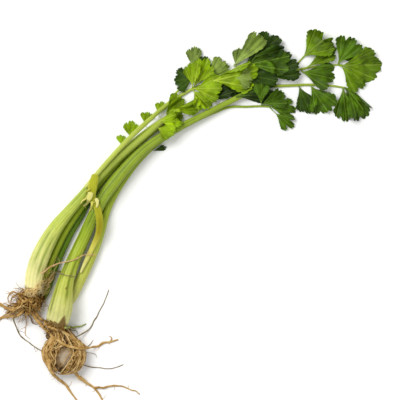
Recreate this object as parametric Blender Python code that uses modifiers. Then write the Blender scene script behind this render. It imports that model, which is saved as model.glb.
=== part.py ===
"""Head of leaf celery: two rooted plants lying side by side, bound by one wilted stalk.

Places are written in bunch coordinates. "along" runs up the bend of the bunch from its foot and is
counted in stations, and "across" is millimetres to the left of the bend. Pieces are laid one on another
in the order in which they rest.
"""
import math

import bmesh
import bpy
import numpy as np
from mathutils import Matrix, Vector

MM = 0.001

# Overall sizes
BUNCH_LENGTH = 500.0          # along the bend, foot to outermost leaf tips, mm
STALK_GROWTH = 1.0            # thickness of every stalk, 1 is this plant
LEAF_GROWTH = 1.0             # size of every leaflet, 1 is this plant
STATIONS = 500.0              # stations in the length of the bunch
FOOT = (47.3, 85.8)           # foot of the bend in plan, mm
BEND = (                      # station, direction of growth in degrees
    (0.0, 72.5), (45.0, 70.5), (95.0, 66.5), (125.0, 60.0), (155.0, 52.0), (185.0, 46.0),
    (215.0, 42.0), (245.0, 35.0), (285.0, 27.5), (335.0, 20.0), (385.0, 12.0), (430.0, 8.0),
    (500.0, 4.0),
)

# Clearances and walls, mm
GAP = 0.45                    # air between a piece and what it rests on
LEAF_THICKNESS = 0.6
TIE_THICKNESS = 2.6           # the flattened wilted stalk
LEFT_CROWN = (31.0, 24.0, 20.0)       # length, width, height
RIGHT_CROWN = (13.0, 27.0, 17.0)
ROOT_BALL = (42.0, 46.0, 22.0)

# How pieces lie
ROOT_FALL = 26.0              # length over which a root sinks to the bed, mm
STALK_STIFFNESS = 18          # sections either way over which a piece's height is evened out
TIE_STIFFNESS = 8
THIN_STIFFNESS = 6
LEAF_PASSES = 4               # times that the drape of a leaf is evened out
BED_START = -0.375            # corner of the bed and its side, as shares of the bunch's length
BED_SIDE = 1.875

# Fineness of the meshes
CELL = 1.0                    # grid of the bed, mm
LINE_STEP = 0.8               # spacing of the sections that are laid on the bed, mm
ACROSS_SAMPLES = 41
DRAPE_SAMPLES = 7             # points each way in a facet of a leaf, to find what lies under it
LAY_SAMPLES = 10              # points each way in a facet of a leaf, to lay it on the bed
RING_SPACING = 11.0           # between the rings of a stalk, mm
TIE_RING_SPACING = 5.0
STEM_RING_SPACING = 7.0
ROOT_RING_SPACING = 6.0
RING_SIDES = 12
LUMP_SEGMENTS = (18, 11)      # round a crown, and end to end
LEAF_ROWS = (0.05, 0.32, 0.58, 0.8, 1.0)
LEAF_COLUMNS = 12
FACET_MARGIN = 0.25           # bulge of a real facet over a sampled one, mm

# Crowns and root ball: finish, (along, across) of the middle, size, depth of the knobs as a share
LUMPS = {
    "left_crown": ("crown", (16.0, 23.4), LEFT_CROWN, 0.16),
    "right_crown": ("crown", (1.0, -15.0), RIGHT_CROWN, 0.1),
    "right_root_ball": ("root", (-27.4, -33.0), ROOT_BALL, 0.12),
}

# Stalks: name, finish, height as a share of the width at the foot and above, stations from the foot
# over which it goes from one to the other, and the route as (along, across, width)
STALKS = (
    ("right_side_stalk", "green", (0.95, 0.95), 90.0, (
        (30, -21.5, 9.5), (50, -23.0, 11.0), (80, -25.3, 11.0), (100, -25.0, 11.0), (120, -22.5, 10.0),
        (135, -18.8, 9.0), (150, -15.0, 8.6), (170, -11.5, 8.0), (190, -8.4, 7.2), (210, -6.0, 6.4),
        (230, -4.6, 5.4), (250, -4.6, 4.4), (280, -5.2, 3.6), (310, -5.6, 3.0), (330, -6.4, 2.6),
        (350, -12.6, 2.4), (364, -16.0, 2.2), (373, -18.6, 2.2))),
    ("left_inner_stalk", "deep_green", (0.95, 0.95), 70.0, (
        (23, 6.4, 6.6), (36, 7.4, 8.8), (50, 8.0, 8.8), (64, 7.6, 8.0), (80, 6.6, 7.4), (100, 5.4, 6.6),
        (120, 3.8, 5.6), (140, 4.4, 4.8), (170, 6.0, 4.2), (205, 6.8, 3.6))),
    ("left_middle_stalk", "green", (0.9, 0.95), 60.0, (
        (40, 13.6, 6.0), (60, 13.2, 7.4), (80, 12.8, 7.6), (100, 11.6, 7.4), (120, 9.4, 7.0),
        (140, 8.0, 7.0), (165, 7.2, 6.8), (200, 7.6, 6.2), (240, 8.4, 5.0), (258, 9.4, 4.2),
        (270, 10.4, 3.2))),
    ("right_main_stalk", "green", (0.78, 0.95), 120.0, (
        (9, -13.6, 22.0), (20, -13.4, 24.0), (35, -11.6, 21.0), (50, -9.6, 17.6), (70, -9.2, 15.6),
        (100, -9.6, 14.0), (130, -8.0, 13.2), (150, -5.4, 14.0), (175, -3.8, 13.4), (200, -2.0, 12.0),
        (220, -0.8, 10.6), (240, -0.9, 9.4), (260, -2.2, 8.6), (280, -3.5, 7.4), (300, -3.4, 6.6),
        (320, -2.0, 6.2), (340, 0.0, 6.0), (352, 1.8, 5.4), (362, 3.2, 4.4))),
    ("left_outer_stalk", "pale_green", (0.72, 0.95), 140.0, (
        (33, 21.6, 17.0), (45, 24.2, 19.4), (60, 25.4, 20.0), (80, 24.6, 18.6), (100, 22.0, 15.6),
        (120, 17.6, 12.4), (135, 14.8, 11.2), (150, 13.0, 10.4), (175, 12.0, 9.8), (200, 11.6, 9.8),
        (220, 11.0, 9.4), (240, 11.4, 8.6), (260, 12.4, 6.6), (274, 13.0, 4.6))),
    ("young_leaf_stalk", "pale_green", (0.9, 0.95), 30.0, (
        (152, 16.0, 4.2), (175, 15.8, 4.8), (200, 16.9, 5.2), (225, 18.6, 5.4), (240, 20.2, 5.2),
        (250, 21.8, 4.8), (262, 24.2, 4.4), (280, 26.8, 3.8), (294, 27.8, 3.2), (300, 28.2, 2.8))),
)

# Thin stems: finish, radius at the foot, radius at the tip, route
STEMS = {
    "leaf_stem_low": ("green", 1.7, 1.0, (
        (365, 1.6), (378, 2.6), (390, 1.0), (402, -1.0), (416, -2.6), (428, -4.4), (440, -6.6),
        (452, -9.2), (461, -11.8))),
    "leaf_stem_high": ("green", 1.6, 0.9, (
        (366, 5.8), (380, 10.4), (395, 13.2), (412, 14.6), (430, 15.4), (445, 15.0), (457, 14.2))),
    "leaf_stem_top": ("green", 1.0, 0.8, ((402, 16.6), (412, 20.8), (420, 27.0))),
    "leaf_stem_back": ("green", 1.3, 0.9, ((362, 7.4), (365, 18.0), (363, 27.0), (356, 33.0))),
    "leaf_stem_left": ("green", 1.3, 0.9, ((277, 29.6), (290, 34.2), (302, 39.4), (310, 44.6))),
    "leaf_stem_young": ("green", 1.4, 1.0, ((303, 28.2), (312, 27.6), (322, 27.0))),
}

# Leaflets: stem, finish, (along, across), turn from the bend, length, half angle, rise, fold, droop,
# ripple.  rise, fold and droop are shares of the length, ripple is mm.
LEAFLETS = {
    # under everything
    "leaf_under_main": (None, "dark_leaf", (322, 9.0), -5, 46, 16, 0.05, 0.0, 0.0, 0.8),
    "leaf_edge_2": (None, "young_leaf", (220, 18.6), 45, 19, 36, 0.08, 0.1, 0.0, 0.8),
    "leaf_edge_3": (None, "young_leaf", (240, 20.6), 40, 15, 36, 0.08, 0.1, 0.0, 0.8),
    # outermost leaf, low stem
    "leaf_low_1": ("leaf_stem_low", "leaf", (407, -3.4), -72, 32, 22, 0.1, 0.16, 0.32, 1.2),
    "leaf_low_2": ("leaf_stem_low", "leaf", (424, -5.6), -54, 34, 33, 0.1, 0.14, 0.3, 1.4),
    "leaf_low_3": ("leaf_stem_low", "dark_leaf", (459, -12.6), -102, 34, 21, 0.1, 0.14, 0.3, 1.0),
    "leaf_low_4": ("leaf_stem_low", "leaf", (463, -12.2), -62, 40, 25, 0.12, 0.2, 0.3, 1.2),
    # outermost leaf, high stem
    "leaf_high_1": ("leaf_stem_high", "leaf", (414, 12.6), -18, 41, 32, 0.1, 0.12, 0.12, 1.4),
    "leaf_high_2": ("leaf_stem_high", "leaf", (422, 15.6), 27, 40, 18, 0.1, -0.1, 0.05, 1.0),
    "leaf_high_3": ("leaf_stem_high", "leaf", (457, 15.0), 54, 35, 32, 0.12, 0.14, 0.1, 1.6),
    "leaf_high_4": ("leaf_stem_high", "leaf", (461, 13.0), -3, 42, 30, 0.14, 0.16, 0.16, 1.8),
    "leaf_high_5": ("leaf_stem_high", "pale_leaf", (460, 12.0), -46, 34, 24, 0.2, 0.3, 0.2, 0.8),
    "leaf_top": ("leaf_stem_top", "leaf", (421, 28.0), 32, 38, 38, 0.16, 0.14, 0.1, 1.6),
    # dark leaf in the middle
    "leaf_dark_1": ("leaf_stem_high", "dark_leaf", (374, 14.0), 4, 42, 24, 0.1, 0.1, 0.1, 1.0),
    "leaf_dark_2": ("leaf_stem_back", "dark_leaf", (354, 23.0), -28, 38, 32, 0.1, 0.1, 0.12, 1.2),
    "leaf_dark_3": ("leaf_stem_back", "dark_leaf", (358, 31.0), -1, 50, 24, 0.14, -0.12, 0.06, 1.2),
    "leaf_dark_4": ("leaf_stem_back", "dark_leaf", (369, 37.0), 30, 36, 30, 0.1, 0.14, 0.04, 1.4),
    "leaf_pale_1": ("leaf_stem_back", "pale_leaf", (345, 33.0), 36, 46, 19, 0.12, 0.3, 0.02, 0.8),
    # end of the right side stalk
    "leaf_side_1": ("right_side_stalk", "leaf", (374, -20.0), -14, 30, 26, 0.1, 0.12, 0.1, 1.0),
    "leaf_side_2": ("right_side_stalk", "leaf", (379, -28.0), -44, 25, 30, 0.12, 0.12, 0.16, 0.8),
    "leaf_side_3": ("right_side_stalk", "leaf", (366, -15.0), 10, 27, 30, 0.12, 0.14, 0.12, 1.0),
    "leaf_side_4": ("right_side_stalk", "pale_leaf", (365, -13.6), 60, 24, 34, 0.2, 0.2, 0.1, 1.0),
    # left-hand leaves under the young ones
    "leaf_left_1": ("leaf_stem_left", "dark_leaf", (306, 42.0), 178, 21, 46, 0.06, 0.1, 0.1, 0.8),
    "leaf_left_2": ("leaf_stem_left", "dark_leaf", (312, 44.0), 42, 20, 38, 0.1, 0.12, 0.04, 0.8),
    "leaf_left_3": ("leaf_stem_left", "pale_leaf", (310, 47.0), 74, 24, 28, 0.12, 0.2, 0.0, 0.8),
    "leaf_left_4": ("leaf_stem_young", "pale_leaf", (318, 32.0), 24, 31, 22, 0.12, 0.2, 0.05, 1.0),
    # young leaves on top
    "leaf_crisp_1": ("left_middle_stalk", "young_leaf", (272, 15.6), -6, 30, 24, 0.08, 0.1, 0.06, 1.6),
    "leaf_crisp_2": ("left_middle_stalk", "young_leaf", (246, 9.0), -58, 19, 38, 0.1, 0.12, 0.12, 1.2),
    "leaf_crisp_3": ("left_middle_stalk", "young_leaf", (252, 15.0), -34, 24, 26, 0.14, 0.2, 0.1, 1.6),
    "leaf_young_1": ("young_leaf_stalk", "young_leaf", (301, 24.6), -62, 25, 34, 0.1, 0.12, 0.14, 1.2),
    "leaf_young_2": ("young_leaf_stalk", "young_leaf", (302, 27.2), -18, 32, 28, 0.14, 0.1, 0.1, 1.4),
    "leaf_young_3": ("young_leaf_stalk", "young_leaf", (303, 29.6), 46, 34, 26, 0.14, 0.18, 0.04, 1.2),
    "leaf_young_4": ("young_leaf_stalk", "young_leaf", (302, 30.4), 80, 30, 20, 0.2, 0.24, 0.04, 0.8),
    "leaf_young_5": ("leaf_stem_young", "pale_leaf", (342, 20.0), -14, 25, 38, 0.14, 0.12, 0.1, 1.8),
    "leaf_young_6": ("leaf_stem_young", "young_leaf", (323, 26.6), -4, 47, 30, 0.12, 0.26, 0.04, 1.4),
}

# Roots: radius at the crown, radius at the tip, height of the start, route
ROOTS = {
    "left_root_long": (1.9, 1.2, 8.0, ((4, 33.0), (2, 42), (3, 51), (3, 62))),
    "left_root_low": (1.6, 0.8, 5.0, ((0, 27), (-6, 36), (-11, 46), (-18, 55))),
    "left_root_drooping": (0.7, 0.4, 3.0, (
        (1, 32), (-6, 31), (-14, 28), (-21, 23), (-26, 15), (-29, 6), (-32, -3), (-33, -9))),
    "right_root_main": (1.7, 0.7, 6.0, ((-45, -23), (-54, -32), (-62, -46), (-71, -58), (-75, -65))),
    "right_root_back": (1.6, 0.7, 6.0, ((-44, -52), (-50, -63), (-54, -75), (-60, -84), (-66, -90))),
    "right_root_fork": (1.0, 0.5, 1.0, ((-52, -80), (-48, -89), (-44, -98), (-43, -110), (-45, -125))),
    "right_root_upright": (0.6, 0.4, 6.0, ((-5, -39), (0, -45), (6, -50), (18, -53), (38, -56), (57, -57))),
    "left_root_across": (1.5, 0.8, 7.0, (
        (-1, 6), (-8, -6), (-13, -20), (-16, -36), (-15, -48), (-12, -58), (-9, -65), (-3, -70),
        (-1, -75), (5, -84))),
    "front_root_pink": (0.9, 0.5, 8.0, (
        (50, 17), (58, 12), (62, 9), (68, 2), (73, -5), (79, -12), (85, -18), (92, -29.5))),
}

# The wilted stalk: (along, across, width)
TIE = (
    (66, -21.4, 2.4), (80, -21.6, 4.2), (100, -21.6, 5.2), (112, -21.4, 6.2), (122, -19.4, 7.0),
    (130, -16.0, 7.4), (137, -10.6, 7.4), (142, -5.0, 7.4), (144, 0.0, 7.0), (147, 4.6, 7.2),
    (153, 9.0, 7.8), (160, 12.6, 7.6), (167, 15.8, 6.0),
)

# Finish: colour, roughness
FINISHES = {
    "green": ((0.33, 0.50, 0.05), 0.38),
    "deep_green": ((0.10, 0.24, 0.01), 0.42),
    "pale_green": ((0.50, 0.62, 0.14), 0.38),
    "wilted": ((0.60, 0.55, 0.08), 0.55),
    "leaf": ((0.10, 0.26, 0.015), 0.45),
    "dark_leaf": ((0.04, 0.11, 0.01), 0.45),
    "young_leaf": ((0.30, 0.50, 0.02), 0.42),
    "pale_leaf": ((0.30, 0.42, 0.12), 0.6),
    "crown": ((0.16, 0.10, 0.04), 0.9),
    "root": ((0.42, 0.27, 0.11), 0.8),
}


class Bend:
    """The line in plan that the bunch grows along."""

    def __init__(self):
        self.scale = BUNCH_LENGTH / STATIONS
        self.stations = np.arange(0.0, STATIONS + 1.0)
        stations, degrees = zip(*BEND)
        self.turn = np.radians(np.interp(self.stations + 0.5, stations, degrees))
        self.x = FOOT[0] + self.scale * np.concatenate(([0.0], np.cumsum(np.cos(self.turn))[:-1]))
        self.y = FOOT[1] + self.scale * np.concatenate(([0.0], np.cumsum(np.sin(self.turn))[:-1]))

    def direction(self, along):
        """Direction of growth in radians at a station."""
        return float(np.interp(along, self.stations, self.turn))

    def place(self, along, across):
        """Plan point in mm; below the foot the bend runs on straight."""
        turn = self.direction(along)
        beyond = min(along, 0.0) * self.scale
        x = float(np.interp(along, self.stations, self.x)) + beyond * math.cos(turn)
        y = float(np.interp(along, self.stations, self.y)) + beyond * math.sin(turn)
        return x - across * math.sin(turn), y + across * math.cos(turn)


class Bed:
    """The surface the bunch lies on, with the height of all that lies on it so far, in mm."""

    def __init__(self):
        self.low = BED_START * BUNCH_LENGTH
        self.count = int(BED_SIDE * BUNCH_LENGTH / CELL)
        self.height = np.zeros((self.count, self.count))
        self.padded = self.height.copy()

    def cell(self, value):
        """Index of the cell that holds a coordinate."""
        return np.clip(((np.asarray(value) - self.low) / CELL).astype(int), 1, self.count - 2)

    def rest(self, line, half_width, half_height):
        """Height of the middle of each section of a long piece that clears what lies under it."""
        x, y, across = strips(line, half_width)
        under = np.sqrt(1.0 - across ** 2) * half_height[:, None]
        lying = self.padded[self.cell(x), self.cell(y)]
        needed = np.where(lying > 0.0, lying + GAP + under, 0.0)
        return np.maximum(needed.max(axis=1), half_height)

    def lay(self, line, middle, half_width, half_height):
        """Adds the top of a long piece."""
        x, y, across = strips(line, half_width)
        over = middle[:, None] + np.sqrt(1.0 - across ** 2) * half_height[:, None]
        self.lay_points(x, y, over)

    def settle(self):
        """Widens what lies on the bed by one cell, so that heights hold between the cells too."""
        h = self.height
        wide = h.copy()
        for di in (-1, 0, 1):
            for dj in (-1, 0, 1):
                wide = np.maximum(wide, np.roll(np.roll(h, di, 0), dj, 1))
        self.padded = wide

    def tops(self, x, y):
        """Heights lying at plan points."""
        return self.padded[self.cell(x), self.cell(y)]

    def lay_points(self, x, y, z):
        """Adds a cloud of surface points."""
        np.maximum.at(self.height, (self.cell(x), self.cell(y)), z)


def strips(line, half_width):
    """Plan points in rows square to a line, one row for each section, and their share of its half width."""
    ahead = np.gradient(line[:, :2], axis=0)
    ahead /= np.hypot(ahead[:, 0], ahead[:, 1])[:, None]
    across = np.linspace(-1.0, 1.0, ACROSS_SAMPLES)[None, :]
    reach = across * half_width[:, None]
    return line[:, 0:1] - reach * ahead[:, 1:2], line[:, 1:2] + reach * ahead[:, 0:1], across


def smooth_route(points, step):
    """A smooth line through points of any number of values, about one point every step."""
    data = np.array(points, dtype=float)
    chord = np.hypot(*np.diff(data[:, :2], axis=0).T)
    at = np.concatenate(([0.0], np.cumsum(chord)))
    slopes = np.gradient(data, at, axis=0)
    count = max(int(round(at[-1] / step)), 2) + 1
    out = []
    for t in np.linspace(0.0, at[-1], count):
        k = min(int(np.searchsorted(at, t, side="right")) - 1, len(at) - 2)
        span = at[k + 1] - at[k]
        u = (t - at[k]) / span
        out.append((2 * u ** 3 - 3 * u ** 2 + 1) * data[k] + (u ** 3 - 2 * u ** 2 + u) * span * slopes[k]
                   + (3 * u ** 2 - 2 * u ** 3) * data[k + 1] + (u ** 3 - u ** 2) * span * slopes[k + 1])
    return np.array(out)


def spread(count, spacing):
    """Indices of a line's points, its two ends among them, about one every spacing mm."""
    number = max(int(count * LINE_STEP / spacing), 4)
    return np.unique(np.linspace(0, count - 1, number).round().astype(int))


def ease(heights, reach):
    """A smooth line that is nowhere lower than the heights."""
    count = len(heights)
    peaks = np.array([heights[max(i - reach, 0):i + reach + 1].max() for i in range(count)])
    padded = np.concatenate((np.full(reach, peaks[0]), peaks, np.full(reach, peaks[-1])))
    return np.convolve(padded, np.ones(2 * reach + 1) / (2 * reach + 1), mode="valid")


class Bunch:
    """Builds every piece of the bunch and keeps what has been laid."""

    def __init__(self):
        self.bend = Bend()
        self.bed = Bed()
        self.collection = bpy.data.collections.new("head_of_celery")
        bpy.context.scene.collection.children.link(self.collection)
        self.frame = bpy.data.objects.new("bunch_frame", None)
        self.collection.objects.link(self.frame)
        self.lines = {}

    def finish(self, name, kind):
        """The material of one piece."""
        colour, roughness = FINISHES[kind]
        material = bpy.data.materials.new(name + "_finish")
        material.use_nodes = True
        shader = material.node_tree.nodes["Principled BSDF"]
        shader.inputs["Base Color"].default_value = (*colour, 1.0)
        shader.inputs["Roughness"].default_value = roughness
        shader.inputs["Metallic"].default_value = 0.0
        return material

    def add(self, name, data, kind):
        """Puts a piece in the bunch."""
        piece = bpy.data.objects.new(name, data)
        piece.data.materials.append(self.finish(name, kind))
        piece.parent = self.frame
        self.collection.objects.link(piece)
        return piece

    def lay_line(self, plan, half_width, half_height, stiffness, wanted=None):
        """Heights for a long piece: it rests on what lies under it, and is then laid itself."""
        self.bed.settle()
        heights = ease(self.bed.rest(plan, half_width, half_height), stiffness)
        if wanted is not None:
            heights = np.maximum(heights, wanted)
        self.bed.lay(plan, heights, half_width, half_height)
        return heights

    def stalk(self, name, kind, heights, flat_length, route):
        """A tapering stalk, wide and flat at the foot and round above."""
        points = np.array([(*self.bend.place(a, c), w * STALK_GROWTH, a) for a, c, w in route])
        line = smooth_route(points, LINE_STEP)
        share = np.interp(line[:, 3], (route[0][0], route[0][0] + flat_length), heights)
        half_width = line[:, 2] / 2
        half_height = half_width * share
        middle = self.lay_line(line, half_width, half_height, STALK_STIFFNESS)
        line = np.column_stack((line[:, :2], middle, half_width, half_height))
        self.lines[name] = line
        keep = spread(len(line), RING_SPACING)
        self.loft(name, kind, line[keep])

    def loft(self, name, kind, line):
        """A closed body through upright oval rings set square to a line."""
        form = bmesh.new()
        rings = []
        for k, (x, y, z, half_width, half_height) in enumerate(line):
            ahead = line[min(k + 1, len(line) - 1)] - line[max(k - 1, 0)]
            side = Vector((-ahead[1], ahead[0], 0.0)).normalized()
            forward = Vector(ahead[:3]).normalized()
            up = forward.cross(side)
            middle = Vector((x, y, z))
            ring = []
            for n in range(RING_SIDES):
                angle = math.tau * (n + 0.5) / RING_SIDES
                offset = side * (half_width * math.cos(angle)) + up * (half_height * math.sin(angle))
                ring.append(form.verts.new(middle + offset))
            rings.append(ring)
        for low, high in zip(rings, rings[1:]):
            for n in range(RING_SIDES):
                m = (n + 1) % RING_SIDES
                form.faces.new((low[n], low[m], high[m], high[n]))
        form.faces.new(rings[0])
        form.faces.new(rings[-1])
        self.add(name, self.mesh_of(name, form), kind)

    def mesh_of(self, name, form):
        """A smooth-shaded mesh, in metres, from a bmesh in millimetres."""
        bmesh.ops.recalc_face_normals(form, faces=form.faces)
        bmesh.ops.scale(form, vec=(MM, MM, MM), verts=form.verts)
        mesh = bpy.data.meshes.new(name)
        form.to_mesh(mesh)
        form.free()
        mesh.shade_smooth()
        mesh.set_sharp_from_angle(angle=math.radians(50))
        return mesh

    def tube(self, name, kind, line):
        """A round tube with filled caps; line holds x, y, z and radius in mm."""
        curve = bpy.data.curves.new(name, "CURVE")
        curve.dimensions = "3D"
        curve.bevel_depth = MM
        curve.bevel_resolution = 2
        curve.use_fill_caps = True
        spline = curve.splines.new("POLY")
        spline.points.add(len(line) - 1)
        for point, (x, y, z, radius) in zip(spline.points, line):
            point.co = (x * MM, y * MM, z * MM, 1.0)
            point.radius = radius
        self.add(name, curve, kind)

    def thin_line(self, name, kind, radii, route, start_height, spacing):
        """A root or thin stem that starts at a height, sinks to its bed and climbs over what it meets."""
        line = smooth_route([self.bend.place(a, c) for a, c in route], LINE_STEP)
        radius = np.linspace(radii[0], radii[1], len(line))
        fall = np.clip(1.0 - np.arange(len(line)) * LINE_STEP / ROOT_FALL, 0.0, 1.0) ** 2
        heights = self.lay_line(line, radius, radius, THIN_STIFFNESS, radius + start_height * fall)
        line = np.column_stack((line, heights, radius))
        self.lines[name] = line
        self.tube(name, kind, line[spread(len(line), spacing)])

    def lump(self, name, kind, at, size, knobs):
        """A knobbly crown or root ball standing on the bed."""
        form = bmesh.new()
        round_it, end_to_end = LUMP_SEGMENTS
        bmesh.ops.create_uvsphere(form, u_segments=round_it, v_segments=end_to_end, radius=0.5)
        turn = self.bend.direction(at[0])
        x, y = self.bend.place(*at)
        for vert in form.verts:
            around = math.atan2(vert.co.y, vert.co.x)
            bulge = 1.0 - knobs * (0.5 + 0.5 * math.sin(5.0 * around + 9.0 * vert.co.z))
            vert.co = Vector((vert.co.x * bulge * size[0], vert.co.y * bulge * size[1],
                              (vert.co.z + 0.5) * size[2]))
        bmesh.ops.rotate(form, cent=(0, 0, 0), matrix=Matrix.Rotation(turn, 3, "Z"), verts=form.verts)
        bmesh.ops.translate(form, vec=(x, y, 0.0), verts=form.verts)
        self.add(name, self.mesh_of(name, form), kind)
        share = np.linspace(-1.0, 1.0, 4 * ACROSS_SAMPLES)
        half = size[0] / 2 * share
        core = np.column_stack((x + half * math.cos(turn), y + half * math.sin(turn)))
        round_end = np.sqrt(1.0 - share ** 2)
        middle = np.full(len(share), size[2] / 2)
        self.bed.lay(core, middle, size[1] / 2 * round_end, size[2] / 2 * round_end)

    def tie(self):
        """The wilted stalk wound over both plants, a flat band."""
        points = np.array([(*self.bend.place(a, c), w) for a, c, w in TIE])
        line = smooth_route(points, LINE_STEP)
        half_width = line[:, 2] / 2
        half_height = np.full(len(line), TIE_THICKNESS / 2)
        middle = self.lay_line(line, half_width, half_height, TIE_STIFFNESS)
        line = np.column_stack((line[:, :2], middle, half_width, half_height))
        self.loft("wilted_tie", "wilted", line[spread(len(line), TIE_RING_SPACING)])

    def leaflet(self, name, stem, kind, at, turn, length, half_angle, rise, fold, droop, ripple):
        """One lobed leaf blade that springs from its stem and drapes over what lies below."""
        length *= LEAF_GROWTH
        start = np.array(self.bend.place(*at))
        heading = self.bend.direction(at[0]) + math.radians(turn)
        half = math.radians(half_angle)
        u = np.array(LEAF_ROWS)[:, None]
        a = np.linspace(-1.0, 1.0, LEAF_COLUMNS + 1)[None, :]
        reach = length * blade_reach(a) * u
        angle = heading + a * half
        x = start[0] + reach * np.cos(angle)
        y = start[1] + reach * np.sin(angle)
        self.bed.settle()
        base = self.stem_height(stem, start)
        own = (base + rise * reach + fold * np.abs(reach * np.sin(a * half)) - droop * length * u ** 2.5
               + ripple * u ** 2 * np.sin(3.0 * math.pi * a + length))
        lying = self.clear_heights(x, y)
        floor = np.where(lying > 0.0, lying + GAP + FACET_MARGIN, 0.0) + LEAF_THICKNESS / 2
        z = np.maximum(own, floor)
        for _ in range(LEAF_PASSES):
            eased = z.copy()
            eased[1:-1] = 0.5 * z[1:-1] + 0.25 * (z[:-2] + z[2:])
            eased[:, 1:-1] = 0.5 * eased[:, 1:-1] + 0.25 * (eased[:, :-2] + eased[:, 2:])
            z = np.maximum(np.maximum(eased, floor), np.minimum(own, z))
        self.blade_mesh(name, kind, x, y, z)
        for px, py, pz in quad_samples(x, y, z, LAY_SAMPLES):
            self.bed.lay_points(px, py, pz + LEAF_THICKNESS / 2 + FACET_MARGIN)

    def stem_height(self, stem, start):
        """Height of a stem's middle nearest to where a leaflet springs from it."""
        if stem is None:
            return LEAF_THICKNESS
        line = self.lines[stem]
        nearest = np.hypot(line[:, 0] - start[0], line[:, 1] - start[1]).argmin()
        return float(line[nearest, 2])

    def clear_heights(self, x, y):
        """For each corner of a sheet, the highest thing that lies under the faces round it."""
        floor = np.zeros(x.shape)
        rows, columns = x.shape
        highest = np.zeros((rows - 1, columns - 1))
        for px, py, _ in quad_samples(x, y, x, DRAPE_SAMPLES):
            highest = np.maximum(highest, self.bed.tops(px, py))
        for di in (0, 1):
            for dj in (0, 1):
                part = floor[di:di + rows - 1, dj:dj + columns - 1]
                np.maximum(part, highest, out=part)
        return floor

    def blade_mesh(self, name, kind, x, y, z):
        """A blade as an open sheet with a wall given by Solidify."""
        form = bmesh.new()
        verts = [[form.verts.new((x[i, j], y[i, j], z[i, j])) for j in range(x.shape[1])]
                 for i in range(x.shape[0])]
        for i in range(x.shape[0] - 1):
            for j in range(x.shape[1] - 1):
                form.faces.new((verts[i][j], verts[i + 1][j], verts[i + 1][j + 1], verts[i][j + 1]))
        piece = self.add(name, self.mesh_of(name, form), kind)
        wall = piece.modifiers.new("blade_wall", "SOLIDIFY")
        wall.thickness = LEAF_THICKNESS * MM
        wall.offset = 0.0

    def recentre(self):
        """Moves the frame so that the bunch stands on z = 0 with its box centred over the origin."""
        bpy.context.view_layer.update()
        graph = bpy.context.evaluated_depsgraph_get()
        corners = []
        for piece in self.collection.objects:
            if piece.type == "EMPTY":
                continue
            mesh = piece.evaluated_get(graph).to_mesh()
            coordinates = np.empty(len(mesh.vertices) * 3)
            mesh.vertices.foreach_get("co", coordinates)
            corners.append(coordinates.reshape(-1, 3).min(axis=0))
            corners.append(coordinates.reshape(-1, 3).max(axis=0))
        low = np.min(corners, axis=0)
        high = np.max(corners, axis=0)
        self.frame.location = (-(low[0] + high[0]) / 2, -(low[1] + high[1]) / 2, -low[2])


def blade_reach(a):
    """Length of the blade at a share of its half angle: three lobes with a scalloped edge."""
    envelope = 1.0 - 0.2 * a ** 2
    phase = (a + 1.0) * 1.5
    sinus = 0.17 * np.abs(np.cos(math.pi * phase)) ** 4 * (1.0 - 0.6 * a ** 8)
    return envelope * (1.0 - sinus)


def quad_samples(x, y, z, count):
    """Points spread evenly over every face of a grid, one array of faces at a time."""
    for s in np.linspace(0.0, 1.0, count):
        for t in np.linspace(0.0, 1.0, count):
            yield tuple((1 - s) * ((1 - t) * v[:-1, :-1] + t * v[:-1, 1:])
                        + s * ((1 - t) * v[1:, :-1] + t * v[1:, 1:]) for v in (x, y, z))


def build():
    """Lays the whole bunch, lowest pieces first."""
    for old in list(bpy.data.objects):
        bpy.data.objects.remove(old, do_unlink=True)
    bunch = Bunch()
    for name, spec in LUMPS.items():
        bunch.lump(name, *spec)
    under = [name for name in LEAFLETS if name.startswith(("leaf_under", "leaf_edge"))]
    bunch.stalk(*STALKS[0])
    bunch.leaflet(under[0], *LEAFLETS[under[0]])
    for spec in STALKS[1:5]:
        bunch.stalk(*spec)
    for name in under[1:]:
        bunch.leaflet(name, *LEAFLETS[name])
    bunch.stalk(*STALKS[5])
    bunch.tie()
    for name, (kind, foot, tip, route) in STEMS.items():
        bunch.thin_line(name, kind, (foot, tip), route, 0.0, STEM_RING_SPACING)
    for name, spec in LEAFLETS.items():
        if name not in under:
            bunch.leaflet(name, *spec)
    for name, (foot, tip, start, route) in ROOTS.items():
        bunch.thin_line(name, "root", (foot, tip), route, start, ROOT_RING_SPACING)
    bunch.recentre()


build()
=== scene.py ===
"""Looks of a head of leaf celery: two rooted plants on their side, bound by one wilted stalk.

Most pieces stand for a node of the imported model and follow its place; the finest leaves, roots and
strands have no node and lie on what is there. Places in plan are written in bunch coordinates: "along"
runs up the bend of the bunch from its foot, "across" is to the left of it, both in millimetres.
Finished meshes are in metres.
"""
import logging
import math
from collections.abc import Sequence
from dataclasses import dataclass, field
from enum import Enum

import bmesh
import bpy
import numpy as np
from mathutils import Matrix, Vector, noise
from mathutils.bvhtree import BVHTree


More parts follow.
